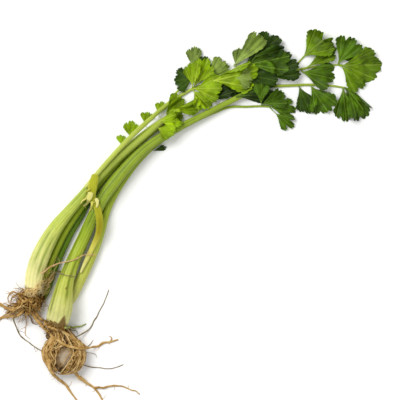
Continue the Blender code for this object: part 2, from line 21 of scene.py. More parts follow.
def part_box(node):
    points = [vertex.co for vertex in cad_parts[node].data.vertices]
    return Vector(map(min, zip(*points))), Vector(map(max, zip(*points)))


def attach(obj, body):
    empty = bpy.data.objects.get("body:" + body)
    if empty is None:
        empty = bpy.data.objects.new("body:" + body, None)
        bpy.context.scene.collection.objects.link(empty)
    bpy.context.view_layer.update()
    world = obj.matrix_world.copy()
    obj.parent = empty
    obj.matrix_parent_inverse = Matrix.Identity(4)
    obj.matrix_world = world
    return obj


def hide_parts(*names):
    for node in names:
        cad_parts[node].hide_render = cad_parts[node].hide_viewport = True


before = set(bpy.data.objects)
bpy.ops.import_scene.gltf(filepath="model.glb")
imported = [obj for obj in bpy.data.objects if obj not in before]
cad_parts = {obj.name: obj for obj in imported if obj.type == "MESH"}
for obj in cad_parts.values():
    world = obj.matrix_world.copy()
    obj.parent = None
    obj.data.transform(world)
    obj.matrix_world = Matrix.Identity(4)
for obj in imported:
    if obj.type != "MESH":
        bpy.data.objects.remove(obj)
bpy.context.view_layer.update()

LOG = logging.getLogger("celery")
MM = 0.001
BODY = "root"
UV_MAP = "UVMap"
AIR = 0.25                    # least air between a leaf and what it lies on, mm
DOUBLES = 2e-6                # corners nearer than this are one, m
END_RINGS = ((0.55, 0.8), (0.9, 0.42), (1.0, 0.0))     # reach and size of the rings that round a tube's end

Point = tuple[float, float]
Row = tuple[float, ...]


# ---------------------------------------------------------------------------------------------- plan
@dataclass
class Bend:
    """The line in plan that the bunch grows along.

    Args:
        length: stations from foot to leaf tips, mm.
        foot: start of the line in the bunch's own plan, mm.
        headings: station and direction of growth in degrees.
    """

    length: float = 500.0
    foot: Point = (47.3, 85.8)
    headings: tuple[Row, ...] = (
        (0.0, 72.5), (45.0, 70.5), (95.0, 66.5), (125.0, 60.0), (155.0, 52.0), (185.0, 46.0),
        (215.0, 42.0), (245.0, 35.0), (285.0, 27.5), (335.0, 20.0), (385.0, 12.0), (430.0, 8.0),
        (500.0, 4.0),
    )
    origin: np.ndarray = field(default_factory=lambda: np.zeros(2))

    def __post_init__(self) -> None:
        """Walks the line once, a millimetre at a time."""
        self.stations = np.arange(0.0, self.length + 1.0)
        at, degrees = zip(*self.headings)
        self.turn = np.radians(np.interp(self.stations + 0.5, at, degrees))
        self.x = self.foot[0] + np.concatenate(([0.0], np.cumsum(np.cos(self.turn))[:-1]))
        self.y = self.foot[1] + np.concatenate(([0.0], np.cumsum(np.sin(self.turn))[:-1]))

    def heading(self, along: float) -> float:
        """Direction of growth in radians at a station."""
        return float(np.interp(along, self.stations, self.turn))

    def place(self, along: float, across: float) -> Point:
        """Plan point in mm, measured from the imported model's origin.

        Args:
            along: station, below the foot where negative.
            across: distance to the left of the line.

        Returns:
            x and y.
        """
        turn = self.heading(along)
        beyond = min(along, 0.0)
        x = float(np.interp(along, self.stations, self.x)) + beyond * math.cos(turn) - self.origin[0]
        y = float(np.interp(along, self.stations, self.y)) + beyond * math.sin(turn) - self.origin[1]
        return x - across * math.sin(turn), y + across * math.cos(turn)

    def in_plan(self, route: Sequence[Row]) -> list[Row]:
        """Plan points of a route whose rows hold along, across and any other values."""
        return [(*self.place(along, across), *others) for along, across, *others in route]


def smooth_route(points: Sequence[Row], step: float) -> np.ndarray:
    """A smooth line through points that may carry further values.

    Args:
        points: x, y and any other values of each point.
        step: spacing wanted between the points returned.

    Returns:
        One row for each point of the line.
    """
    data = np.array(points, dtype=float)
    at = np.concatenate(([0.0], np.cumsum(np.hypot(*np.diff(data[:, :2], axis=0).T))))
    slopes = np.gradient(data, at, axis=0)
    count = max(int(round(at[-1] / step)), 3) + 1
    t = np.linspace(0.0, at[-1], count)
    k = np.clip(np.searchsorted(at, t, side="right") - 1, 0, len(at) - 2)
    span = (at[k + 1] - at[k])[:, None]
    u = ((t - at[k]) / span[:, 0])[:, None]
    return ((2 * u ** 3 - 3 * u ** 2 + 1) * data[k] + (u ** 3 - 2 * u ** 2 + u) * span * slopes[k]
            + (3 * u ** 2 - 2 * u ** 3) * data[k + 1] + (u ** 3 - u ** 2) * span * slopes[k + 1])


def wander(rng: np.random.Generator, count: int, knots: int, amount: float) -> np.ndarray:
    """A smooth random line.

    Args:
        rng: where the numbers come from.
        count: values wanted.
        knots: turns in the line.
        amount: how far it strays from zero.

    Returns:
        The values.
    """
    heights = rng.normal(0.0, amount, knots + 3)
    at = np.linspace(0.0, knots, count)
    k = at.astype(int)
    u = at - k
    ease = u * u * (3.0 - 2.0 * u)
    return heights[k] * (1.0 - ease) + heights[k + 1] * ease


def even_out(values: np.ndarray, reach: int) -> np.ndarray:
    """Running mean of a line of values over so many neighbours on each side."""
    count = 2 * reach + 1
    return np.convolve(np.pad(values, reach, mode="edge"), np.ones(count) / count, "valid")


def soften(heights: np.ndarray, times: int) -> np.ndarray:
    """Evens out a grid of heights.

    Args:
        heights: rows by columns.
        times: how often each moves halfway to its neighbours' mean.

    Returns:
        The new heights.
    """
    soft = heights.copy()
    for _ in range(times):
        soft[1:-1] = 0.5 * soft[1:-1] + 0.25 * (soft[:-2] + soft[2:])
        soft[:, 1:-1] = 0.5 * soft[:, 1:-1] + 0.25 * (soft[:, :-2] + soft[:, 2:])
    return soft


def turn_over(distance: np.ndarray, radius: float,
              most: np.ndarray | float) -> tuple[np.ndarray, np.ndarray]:
    """Where a sheet goes that curls up along a line and then runs on straight.

    Args:
        distance: of each point beyond the line, in the flat sheet.
        radius: of the curl.
        most: angle that it turns through, radians.

    Returns:
        How far each point then is beyond the line, and how high.
    """
    bend = np.minimum(np.maximum(distance, 0.0) / radius, most)
    rest = np.maximum(distance - radius * most, 0.0)
    on = np.minimum(distance, 0.0) + radius * np.sin(bend) + rest * np.cos(most)
    return on, radius * (1 - np.cos(bend)) + rest * np.sin(most)


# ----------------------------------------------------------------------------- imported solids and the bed
class Solid:
    """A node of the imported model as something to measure.

    Args:
        node: name of the node.
    """

    def __init__(self, node: str) -> None:
        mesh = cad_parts[node].data
        corners = [vert.co.copy() for vert in mesh.vertices]
        self.tree = BVHTree.FromPolygons(corners, [tuple(face.vertices) for face in mesh.polygons])
        self.low, self.high = (np.array(corner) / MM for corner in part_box(node))

    def strike(self, x: float, y: float, down: bool) -> float | None:
        """Height in mm of the top, or the underside, over a plan point, None beside the solid."""
        start = self.high[2] + 5.0 if down else self.low[2] - 5.0
        way = Vector((0.0, 0.0, -1.0 if down else 1.0))
        hit = self.tree.ray_cast(Vector((x, y, start)) * MM, way)[0]
        return None if hit is None else hit.z / MM

    def nearest(self, x: float, y: float, z: float) -> float:
        """Height in mm of the point of the surface nearest to a point."""
        return self.tree.find_nearest(Vector((x, y, z)) * MM)[0].z / MM

    def line(self, plan: np.ndarray) -> tuple[np.ndarray, np.ndarray]:
        """Underside and top along a line in plan, filled in where the line leaves the solid.

        Args:
            plan: x and y of each point.

        Returns:
            Heights of the underside and of the top.
        """
        found = []
        for down in (False, True):
            heights = [self.strike(x, y, down) for x, y in plan[:, :2]]
            kept = [k for k, height in enumerate(heights) if height is not None]
            found.append(np.interp(np.arange(len(plan)), kept, [heights[k] for k in kept]))
        return found[0], found[1]


class Bed:
    """The surface that the bunch lies on, with the height of all that lies there so far, in mm."""

    def __init__(self, cell: float = 0.8, reach: float = 260.0) -> None:
        self.cell = cell
        self.low = -reach
        self.count = int(2.0 * reach / cell)
        self.height = np.zeros((self.count, self.count))
        self.wide = self.height.copy()

    def index(self, value: np.ndarray) -> np.ndarray:
        """Cell that holds a coordinate."""
        return np.clip(((np.asarray(value) - self.low) / self.cell).astype(int), 1, self.count - 2)

    def lay(self, grid: np.ndarray) -> None:
        """Adds a surface.

        Args:
            grid: points of the surface, rows by columns by three.
        """
        for s in np.linspace(0.0, 1.0, 5):
            for t in np.linspace(0.0, 1.0, 5):
                low = (1 - t) * grid[:-1, :-1] + t * grid[:-1, 1:]
                high = (1 - t) * grid[1:, :-1] + t * grid[1:, 1:]
                x, y, z = np.moveaxis((1 - s) * low + s * high, 2, 0)
                np.maximum.at(self.height, (self.index(x), self.index(y)), z)

    def settle(self) -> None:
        """Widens what lies on the bed by one cell, so that heights hold between the cells too."""
        wide = self.height.copy()
        for di in (-1, 0, 1):
            for dj in (-1, 0, 1):
                wide = np.maximum(wide, np.roll(np.roll(self.height, di, 0), dj, 1))
        self.wide = wide

    def tops(self, x: np.ndarray, y: np.ndarray) -> np.ndarray:
        """Heights that lie at plan points."""
        return self.wide[self.index(x), self.index(y)]


# ------------------------------------------------------------------------------------------- meshes
def in_scene(name: str, data: bpy.types.ID) -> bpy.types.Object:
    """An object of the scene that shows a mesh, a lamp or a camera."""
    made = bpy.data.objects.new(name, data)
    bpy.context.scene.collection.objects.link(made)
    return made


class Form:
    """A mesh in the making, from skins that are stretched over grids of points.

    Args:
        marks: names of the values that each corner carries for its material.
    """

    def __init__(self, marks: Sequence[str] = ()) -> None:
        self.mesh = bmesh.new()
        self.mesh.loops.layers.uv.new(UV_MAP)
        self.marks = {name: self.mesh.verts.layers.float.new(name) for name in marks}

    def skin(self, grid: np.ndarray, marks: dict[str, np.ndarray] | None = None) -> list:
        """Stretches an even grid over points in mm.

        Args:
            grid: the points, rows by columns by three.
            marks: values for the corners, each rows by columns.

        Returns:
            The corners made.
        """
        rows, columns = grid.shape[:2]
        made = bmesh.ops.create_grid(self.mesh, x_segments=columns - 1, y_segments=rows - 1, size=0.5,
                                     calc_uvs=True)["verts"]
        places = (grid.reshape(-1, 3) * MM).tolist()
        for vert, place in zip(made, places):
            vert.co = place
        for name, values in (marks or {}).items():
            layer = self.marks[name]
            for vert, value in zip(made, values.reshape(-1).tolist()):
                vert[layer] = value
        return made

    def wall(self, verts: list, thickness: float) -> None:
        """Gives an open skin a wall; the new underside takes the second material.

        Args:
            verts: corners of the skin.
            thickness: of the wall, mm.
        """
        faces = list({face for vert in verts for face in vert.link_faces})
        for vert in verts:
            vert.normal_update()
        made = bmesh.ops.solidify(self.mesh, geom=faces, thickness=thickness * MM)["geom"]
        for item in made:
            if isinstance(item, bmesh.types.BMFace):
                item.material_index = 1

    def finish(self, name: str, materials: Sequence[bpy.types.Material], stands_for: Sequence[str],
               slot: str) -> bpy.types.Object:
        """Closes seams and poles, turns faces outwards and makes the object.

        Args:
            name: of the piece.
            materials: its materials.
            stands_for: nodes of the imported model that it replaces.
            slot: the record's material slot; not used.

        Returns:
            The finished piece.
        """
        bmesh.ops.remove_doubles(self.mesh, verts=self.mesh.verts, dist=DOUBLES)
        bmesh.ops.dissolve_degenerate(self.mesh, edges=self.mesh.edges, dist=DOUBLES / 2)
        bmesh.ops.recalc_face_normals(self.mesh, faces=self.mesh.faces)
        data = bpy.data.meshes.new(name)
        self.mesh.to_mesh(data)
        self.mesh.free()
        data.shade_smooth()
        for material in materials:
            data.materials.append(material)
        piece = in_scene(name, data)
        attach(piece, BODY)
        if stands_for:
            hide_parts(*stands_for)
        LOG.info("%s: %d faces", name, len(data.polygons))
        return piece


def frames(line: np.ndarray) -> tuple[np.ndarray, np.ndarray]:
    """Directions square to a line at each of its points.

    Args:
        line: x, y and z of each point.

    Returns:
        The level direction to the left, and the direction that is up from it.
    """
    ahead = np.gradient(line, axis=0)
    ahead /= np.linalg.norm(ahead, axis=1)[:, None] + 1e-9
    side = np.column_stack((-ahead[:, 1], ahead[:, 0], np.zeros(len(line))))
    level = np.hypot(side[:, 0], side[:, 1])
    for k in range(1, len(side)):
        if level[k] < 0.2:
            side[k] = side[k - 1]
    side /= np.linalg.norm(side, axis=1)[:, None] + 1e-9
    return side, np.cross(ahead, side)


def corners_round(sides: int) -> np.ndarray:
    """Angles of the corners round a section, one row that starts and ends at its underside."""
    return np.linspace(-0.5 * math.pi, 1.5 * math.pi, sides + 1)[None, :]


def tube(line: np.ndarray, wide: np.ndarray, high: np.ndarray, sides: int,
         swell: np.ndarray | None = None) -> np.ndarray:
    """Points of a closed tube with rounded ends.

    Args:
        line: x, y and z of each section's middle.
        wide: half width of each section.
        high: half height of each section.
        sides: corners round a section.
        swell: share by which each corner stands out, sections by sides + 1.

    Returns:
        Grid of points, the first and last row drawn together to a point.
    """
    side, up = frames(line)
    angle = corners_round(sides)
    out = np.ones((len(line), sides + 1)) if swell is None else 1.0 + swell
    grid = (line[:, None, :]
            + side[:, None, :] * (wide[:, None] * np.cos(angle) * out)[:, :, None]
            + up[:, None, :] * (high[:, None] * np.sin(angle) * out)[:, :, None])
    ends = []
    for first, second in ((0, 1), (-1, -2)):
        way = line[first] - line[second]
        way = way / (np.linalg.norm(way) + 1e-9)
        reach = min(wide[first], high[first])
        rings = [line[first] + way * reach * out_by + (grid[first] - line[first]) * share
                 for out_by, share in END_RINGS]
        ends.append(rings)
    return np.stack([*reversed(ends[0]), *grid, *ends[1]])


def stalk_marks(rib_highlight: np.ndarray, **others: np.ndarray | float) -> dict[str, np.ndarray]:
    """Values that the corners of a stalk carry, spread over its two rounded ends as well.

    Args:
        rib_highlight: height of its ribs, which also sets the painted highlight on them, sections by corners
            round it.
        others: its age, run, painted shade and stain, each in the shape of the first, a column or one
            number.

    Returns:
        The values by name.
    """
    over = ((len(END_RINGS), len(END_RINGS)), (0, 0))
    return {name: np.pad(np.broadcast_to(value, rib_highlight.shape), over, mode="edge")
            for name, value in {"rib_highlight": rib_highlight, **others}.items()}


# ----------------------------------------------------------------------------------------- materials
def paint(code: str) -> tuple[float, float, float, float]:
    """Linear colour from a six-digit code.

    Args:
        code: red, green and blue in hexadecimal.

    Returns:
        Red, green, blue and 1.
    """
    parts = [int(code[k:k + 2], 16) / 255.0 for k in (0, 2, 4)]
    red, green, blue = (c / 12.92 if c <= 0.04045 else ((c + 0.055) / 1.055) ** 2.4 for c in parts)
    return red, green, blue, 1.0


class Wiring:
    """Short forms for making and joining the nodes of one tree.

    Args:
        tree: the node tree to fill.
    """

    def __init__(self, tree: bpy.types.NodeTree) -> None:
        self.tree = tree

    def add(self, kind: str, inputs: dict | None = None, **settings: object) -> bpy.types.Node:
        """Makes a node.

        Args:
            kind: the node's type.
            inputs: its sockets by name or number, each a value or a socket to join.
            settings: its other properties.

        Returns:
            The node.
        """
        node = self.tree.nodes.new(kind)
        for key, value in settings.items():
            setattr(node, key, value)
        for key, value in (inputs or {}).items():
            if isinstance(value, bpy.types.NodeSocket):
                self.tree.links.new(value, node.inputs[key])
            else:
                node.inputs[key].default_value = value
        return node

    def join(self, given: bpy.types.NodeSocket, taker: bpy.types.Node, socket: str) -> None:
        """Joins a socket to one of a node's inputs."""
        self.tree.links.new(given, taker.inputs[socket])

    def sum(self, operation: str, first: object, second: object = 0.0,
            clamp: bool = False) -> bpy.types.NodeSocket:
        """Result of a Math node."""
        node = self.add("ShaderNodeMath", {0: first, 1: second}, operation=operation, use_clamp=clamp)
        return node.outputs[0]

    def times(self, first: object, second: object, clamp: bool = False) -> bpy.types.NodeSocket:
        """Product of two values."""
        return self.sum("MULTIPLY", first, second, clamp)

    def plus(self, first: object, second: object, clamp: bool = False) -> bpy.types.NodeSocket:
        """Sum of two values."""
        return self.sum("ADD", first, second, clamp)

    def minus(self, first: object, second: object, clamp: bool = False) -> bpy.types.NodeSocket:
        """Difference of two values."""
        return self.sum("SUBTRACT", first, second, clamp)

    def mix(self, share: object, first: object, second: object,
            blend: str = "MIX") -> bpy.types.NodeSocket:
        """Colour between two colours."""
        node = self.add("ShaderNodeMix", {0: share, 6: first, 7: second}, data_type="RGBA",
                        blend_type=blend)
        return node.outputs[2]

    def shade(self, share: float, body: bpy.types.NodeSocket, level: bpy.types.NodeSocket, dark: Point,
              light: Point) -> bpy.types.NodeSocket:
        """Darkens and lightens a colour where a pattern is low and high.

        Args:
            share: how much of it shows.
            body: the colour.
            level: the pattern.
            dark: its low level and what the colour is multiplied by there.
            light: its high level and the factor there.

        Returns:
            The new colour.
        """
        return self.mix(share, body, self.mix(1.0, body, self.ramp(level, (dark, light)), "MULTIPLY"))

    def ramp(self, share: object, stops: Sequence[tuple[float, object]]) -> bpy.types.NodeSocket:
        """Colour from a ramp.

        Args:
            share: where to read it.
            stops: places and their colours, or grey levels.

        Returns:
            The colour socket.
        """
        node = self.add("ShaderNodeValToRGB", {0: share})
        for k, (at, colour) in enumerate(stops):
            value = (colour, colour, colour, 1.0) if isinstance(colour, float) else colour
            stop = node.color_ramp.elements[k] if k < 2 else node.color_ramp.elements.new(at)
            stop.position = at
            stop.color = value
        return node.outputs[0]

    def noise(self, vector: object, scale: object, detail: float) -> bpy.types.NodeSocket:
        """Grey level of a noise texture."""
        inputs = {"Vector": vector, "Scale": scale, "Detail": detail}
        return self.add("ShaderNodeTexNoise", inputs).outputs[0]

    def spread(self, level: bpy.types.NodeSocket, least: float, most: float) -> bpy.types.NodeSocket:
        """A grey level from 0 to 1 as a value between two others."""
        return self.add("ShaderNodeMapRange", {0: level, 3: least, 4: most}).outputs[0]

    def flat(self) -> Sequence[bpy.types.NodeSocket]:
        """Place on the skin, first round or across it and then along it."""
        place = self.add("ShaderNodeUVMap", uv_map=UV_MAP).outputs[0]
        return self.add("ShaderNodeSeparateXYZ", {0: place}).outputs

    def mark(self, name: str) -> bpy.types.NodeSocket:
        """A value that the mesh's corners carry."""
        return self.add("ShaderNodeAttribute", attribute_name=name).outputs["Fac"]

    def group(self, tree: bpy.types.NodeTree, inputs: dict) -> bpy.types.Node:
        """Places a shared effect with its own values."""
        node = self.add("ShaderNodeGroup", node_tree=tree)
        for key, value in inputs.items():
            node.inputs[key].default_value = value
        return node


class Effects:
    """Shader groups that several finishes use, each built once."""

    def __init__(self) -> None:
        self.fibres = self.build_fibres()
        self.mottle = self.build_mottle()
        self.veins = self.build_veins()

    def start(self, name: str, inputs: Sequence[str], outputs: Sequence[str]) -> tuple:
        """An empty group with float sockets.

        Args:
            name: of the group.
            inputs: names of its inputs.
            outputs: names of its outputs.

        Returns:
            The tree, its wiring, its input node and its output node.
        """
        tree = bpy.data.node_groups.new(name, "ShaderNodeTree")
        for title in inputs:
            tree.interface.new_socket(name=title, in_out="INPUT", socket_type="NodeSocketFloat")
        for title in outputs:
            tree.interface.new_socket(name=title, in_out="OUTPUT", socket_type="NodeSocketFloat")
        wire = Wiring(tree)
        return tree, wire, wire.add("NodeGroupInput"), wire.add("NodeGroupOutput")

    def build_fibres(self) -> bpy.types.NodeTree:
        """Long fine streaks that run the length of a stalk or root."""
        tree, wire, given, out = self.start("long_fibres", ("Across", "Along"), ("Streak", "Fine"))
        angle = wire.times(wire.flat()[0], math.tau)
        length = wire.times(wire.mark("run"), given.outputs["Along"])
        for title, share in (("Streak", 1.0), ("Fine", 2.7)):
            reach = wire.times(given.outputs["Across"], share)
            x = wire.times(wire.sum("COSINE", angle), reach)
            y = wire.times(wire.sum("SINE", angle), reach)
            at = wire.add("ShaderNodeCombineXYZ", {0: x, 1: y, 2: wire.times(length, share)})
            wire.join(wire.noise(at.outputs[0], 1.0, 2.0), out, title)
        return tree

    def build_mottle(self) -> bpy.types.NodeTree:
        """Broad and fine patches in the colour of a living surface."""
        tree, wire, given, out = self.start("mottle", ("Broad scale", "Fine scale"), ("Broad", "Fine"))
        place = wire.add("ShaderNodeTexCoord").outputs["Object"]
        for title in ("Broad", "Fine"):
            wire.join(wire.noise(place, given.outputs[title + " scale"], 3.0), out, title)
        return tree

    def build_veins(self) -> bpy.types.NodeTree:
        """Main veins that fan out to the lobes of a leaf and side veins that leave them."""
        tree, wire, given, out = self.start("leaf_veins", ("Lobes", "Side veins"), ("Main", "Side"))
        turn, reach = wire.flat()[:2]
        lobe = wire.sum("FRACT", wire.times(turn, given.outputs["Lobes"]))
        width = wire.times(wire.sum("ABSOLUTE", wire.minus(lobe, 0.5)), reach)
        climb = wire.minus(reach, wire.times(width, 0.9))
        turns = wire.sum("FRACT", wire.times(climb, given.outputs["Side veins"]))
        gap = wire.sum("ABSOLUTE", wire.minus(turns, 0.5))
        for title, off, thick in (("Main", width, 0.05), ("Side", gap, 0.12)):
            wire.join(wire.minus(1.0, wire.sum("DIVIDE", off, thick), clamp=True), out, title)
        return tree


def shader(name: str) -> tuple[bpy.types.Material, Wiring, bpy.types.Node]:
    """A new material.

    Args:
        name: of the material.

    Returns:
        The material, its wiring and its Principled BSDF.
    """
    material = bpy.data.materials.new(name)
    material.use_nodes = True
    return material, Wiring(material.node_tree), material.node_tree.nodes["Principled BSDF"]


def bump(wire: Wiring, surface: bpy.types.Node, height: bpy.types.NodeSocket, depth: float,
         strength: float) -> None:
    """Joins a height in mm to a surface's normal.

    Args:
        wire: the material's wiring.
        surface: its Principled BSDF.
        height: grey level from 0 to 1.
        depth: of the relief, mm.
        strength: share of it that shows.
    """
    node = wire.add("ShaderNodeBump", {"Height": height, "Strength": strength, "Distance": depth * MM})
    wire.join(node.outputs[0], surface, "Normal")


SCAR_BROWN = "6A4A1C"


@dataclass(frozen=True)
class StalkFinish:
    """Skin of a stalk: pale foot, ribbed green above.

    Args:
        name: of the material.
        slot: the record's material slot.
        foot, low, mid, high: colours from its foot up.
        rib_highlight: colour of the painted highlight on its ribs and edges.
        groove: colour of the painted shade in its hollows, channels and shaded sides.
        gloss: least roughness, roughly.
    """

    name: str
    slot: str
    foot: str
    low: str
    mid: str
    high: str
    rib_highlight: str
    groove: str
    gloss: float = 0.36

    def build(self, effects: Effects) -> bpy.types.Material:
        """Makes the material; the mesh marks how far each corner is from the foot, its ribs and where
        painted shade lies.
        """
        material, wire, surface = shader(self.name)
        fibres = wire.group(effects.fibres, {"Across": 5.0, "Along": 9.0})
        mottle = wire.group(effects.mottle, {"Broad scale": 45.0, "Fine scale": 420.0})
        streak, fine = fibres.outputs["Streak"], fibres.outputs["Fine"]
        age = wire.plus(wire.mark("age"), wire.times(wire.minus(streak, 0.5), 0.22), clamp=True)
        body = wire.ramp(age, ((0.0, paint(self.foot)), (1.0, paint(self.high)), (0.3, paint(self.low)),
                               (0.62, paint(self.mid))))
        ridge = wire.times(wire.mark("rib_highlight"), wire.plus(0.35, wire.times(fine, 0.7)), clamp=True)
        # Painted highlight: the ribs are lightened towards the highlight colour.
        body = wire.mix(0.42, body, wire.mix(ridge, body, paint(self.rib_highlight)))
        # Painted shade: hollows between the ribs, channels and shaded sides are darkened towards the shade
        # colour.
        body = wire.mix(wire.times(wire.mark("groove"), 0.8, clamp=True), body, paint(self.groove))
        body = wire.shade(0.55, body, fine, (0.25, 0.80), (0.75, 1.16))
        body = wire.shade(0.6, body, mottle.outputs["Broad"], (0.3, 0.86), (0.7, 1.12))
        body = wire.mix(wire.times(wire.mark("stain"), 0.92, clamp=True), body, paint(SCAR_BROWN))
        wire.join(body, surface, "Base Color")
        rough = wire.spread(mottle.outputs["Fine"], self.gloss - 0.06, self.gloss + 0.12)
        wire.join(rough, surface, "Roughness")
        surface.inputs["Specular IOR Level"].default_value = 0.2
        surface.inputs["Subsurface Weight"].default_value = 0.1
        surface.inputs["Subsurface Radius"].default_value = (0.9, 1.0, 0.2)
        surface.inputs["Subsurface Scale"].default_value = 0.0015
        bump(wire, surface, fine, 0.35, 0.7)
        return material


@dataclass(frozen=True)
class LeafFinish:
    """Blade of a leaflet, with veins.

    Args:
        name: of the material.
        slot: the record's material slot.
        blade, edge: colours near its foot and towards its edge.
        vein: colour of its veins and its little stem.
        under: colour of its underside.
        gloss: least roughness of its top, roughly.
    """

    name: str
    slot: str
    blade: str
    edge: str
    vein: str
    under: str
    gloss: float = 0.42

    def build(self, effects: Effects) -> tuple[bpy.types.Material, bpy.types.Material]:
        """Makes the materials of the top and of the underside."""
        return self.side(effects, self.name, self.blade, self.edge, 0.0), self.side(
            effects, self.name + "_underside", self.under, self.under, 0.14)

    def side(self, effects: Effects, name: str, blade: str, edge: str, dull: float) -> bpy.types.Material:
        """One side of the blade.

        Args:
            effects: the shared groups.
            name: of the material.
            blade: colour of the blade.
            edge: colour towards its edge.
            dull: added to its roughness.

        Returns:
            The material.
        """
        material, wire, surface = shader(name)
        veins = wire.group(effects.veins, {"Lobes": 3.0, "Side veins": 7.0})
        mottle = wire.group(effects.mottle, {"Broad scale": 85.0, "Fine scale": 700.0})
        main, twigs = veins.outputs["Main"], veins.outputs["Side"]
        broad, fine = mottle.outputs["Broad"], mottle.outputs["Fine"]
        body = wire.mix(wire.sum("POWER", wire.flat()[1], 1.6), paint(blade), paint(edge))
        body = wire.shade(0.8, body, broad, (0.32, 0.56), (0.7, 1.42))
        # The tint mark carries each leaflet's tone with painted shade in the hollows of its relief and
        # painted highlight on its crests.
        body = wire.shade(1.0, body, wire.mark("tint"), (0.0, 0.7), (1.0, 1.26))
        body = wire.shade(0.6, body, fine, (0.3, 0.88), (0.7, 1.1))
        for level, share in ((twigs, 0.16), (main, 0.62), (wire.mark("stem"), 0.9)):
            body = wire.mix(wire.times(level, share, clamp=True), body, paint(self.vein))
        wire.join(body, surface, "Base Color")
        wire.join(wire.spread(broad, self.gloss - 0.05 + dull, self.gloss + 0.13 + dull), surface,
                  "Roughness")
        relief = wire.plus(wire.times(twigs, -0.35), wire.times(main, -0.6))
        relief = wire.plus(relief, wire.times(fine, 0.5))
        surface.inputs["Specular IOR Level"].default_value = 0.14
        bump(wire, surface, relief, 0.5, 0.8)
        return material


@dataclass(frozen=True)
class RootFinish:
    """Skin of roots, strands and soil.

    Args:
        name: of the material.
        slot: the record's material slot.
        dark, mid, light: its colours.
        coarse: scale of its broad patches.
        rough: its roughness.
    """

    name: str
    slot: str
    dark: str
    mid: str
    light: str
    coarse: float
    rough: float

    def build(self, effects: Effects) -> bpy.types.Material:
        """Makes the material; each strand carries its own tone."""
        material, wire, surface = shader(self.name)
        mottle = wire.group(effects.mottle, {"Broad scale": self.coarse, "Fine scale": self.coarse * 5.0})
        level = wire.plus(wire.times(mottle.outputs["Broad"], 0.7), wire.times(wire.mark("tint"), 0.55))
        level = wire.plus(level, wire.times(wire.minus(mottle.outputs["Fine"], 0.5), 0.6))
        body = wire.ramp(wire.minus(level, 0.12, clamp=True), (
            (0.2, paint(self.dark)), (0.85, paint(self.light)), (0.5, paint(self.mid))))
        wire.join(body, surface, "Base Color")
        surface.inputs["Roughness"].default_value = self.rough
        surface.inputs["Specular IOR Level"].default_value = 0.12
        bump(wire, surface, mottle.outputs["Fine"], 0.4, 0.9)
        return material


class Finish(Enum):
    """The finishes of the bunch."""

    # For each stalk finish: foot, low, mid and high colours, then the painted highlight of its ribs and the
    # painted shade of its hollows.
    GREEN = StalkFinish("stalk_green", "stalk", "D6D094", "B9BC4E", "9EB026", "7C9610", "C6D060", "566A04")
    MOSS = StalkFinish("stalk_moss", "stalk", "9A9A2C", "869612", "8CA40C", "90A814", "ACBC3A", "4C5E02")
    # A darker copy of the stalk greens for the inner stalk that lies in shade: painted shade.
    DEEP = StalkFinish("stalk_shaded_green", "deep_stalk", "9C9A34", "5E6E0A", "486802", "567804", "769218",
                       "2A4200")
    PALE = StalkFinish("stalk_pale_green", "pale_stalk", "E6DAA2", "CFCE7C", "AEBC3C", "97AC24", "DADC90",
                       "74881A")
    WILTED = StalkFinish("stalk_wilted", "wilted_stalk", "E2DC90", "C8C458", "A0960A", "A2A60E", "D6D470",
                         "7A7404", 0.5)
    LEAF = LeafFinish("leaf_green", "leaf", "466602", "375200", "769432", "6E8A36")
    TOP = LeafFinish("leaf_fresh", "leaf", "607E04", "4E6A02", "8EA83C", "84A044")
    DARK = LeafFinish("leaf_dark", "dark_leaf", "2C4404", "203602", "5A7428", "52702C")
    YOUNG = LeafFinish("leaf_young", "young_leaf", "809C00", "6E8C00", "B4CA44", "A8C044")
    WAN = LeafFinish("leaf_pale", "pale_leaf", "768A3A", "6C8032", "A4B66E", "8A9E50", 0.56)
    CROWN = RootFinish("crown_bark", "crown", "2C1C0A", "6A4C20", "B08A48", 220.0, 0.82)
    ROOT = RootFinish("root_skin", "root", "6B4A1E", "AD8748", "DCC08A", 180.0, 0.7)
    SOIL = RootFinish("root_soil", "root", "3E2C16", "7A6242", "A8977E", 260.0, 0.95)
    PINK = RootFinish("root_pink", "root", "8A6238", "BC9464", "DABC94", 200.0, 0.7)
    FIBRE = RootFinish("torn_fibre", "root", "7A5A28", "B48E4A", "E8CE90", 200.0, 0.75)
    SPROUT = RootFinish("root_sprout", "root", "5E6A20", "8A9648", "B4BE78", 200.0, 0.6)
    EARTH = RootFinish("root_grey", "root", "4A3C22", "7C6A44", "A3926A", 200.0, 0.75)


# --------------------------------------------------------------------------------------- the plants
STALK_MARKS = ("age", "run", "rib_highlight", "groove", "stain")
SECTION_TOP = math.sin(math.radians(75))      # how high a node's section reaches, as a share of its radius
RUN = 0.01                                    # streaks are measured in stations times this
CHANNEL_FADE, BAND_FADE = 12.0, 16.0          # length over which a channel and a band of painted shade begin and end, mm
CHANNEL_WIDTH = 0.16                          # half width of a channel, radians
SCAR_EDGE = 0.7                               # width over which a scar's edge fades, mm
SCAR_LIMIT = 1.4                              # how far below its base a scar runs, in its own lengths


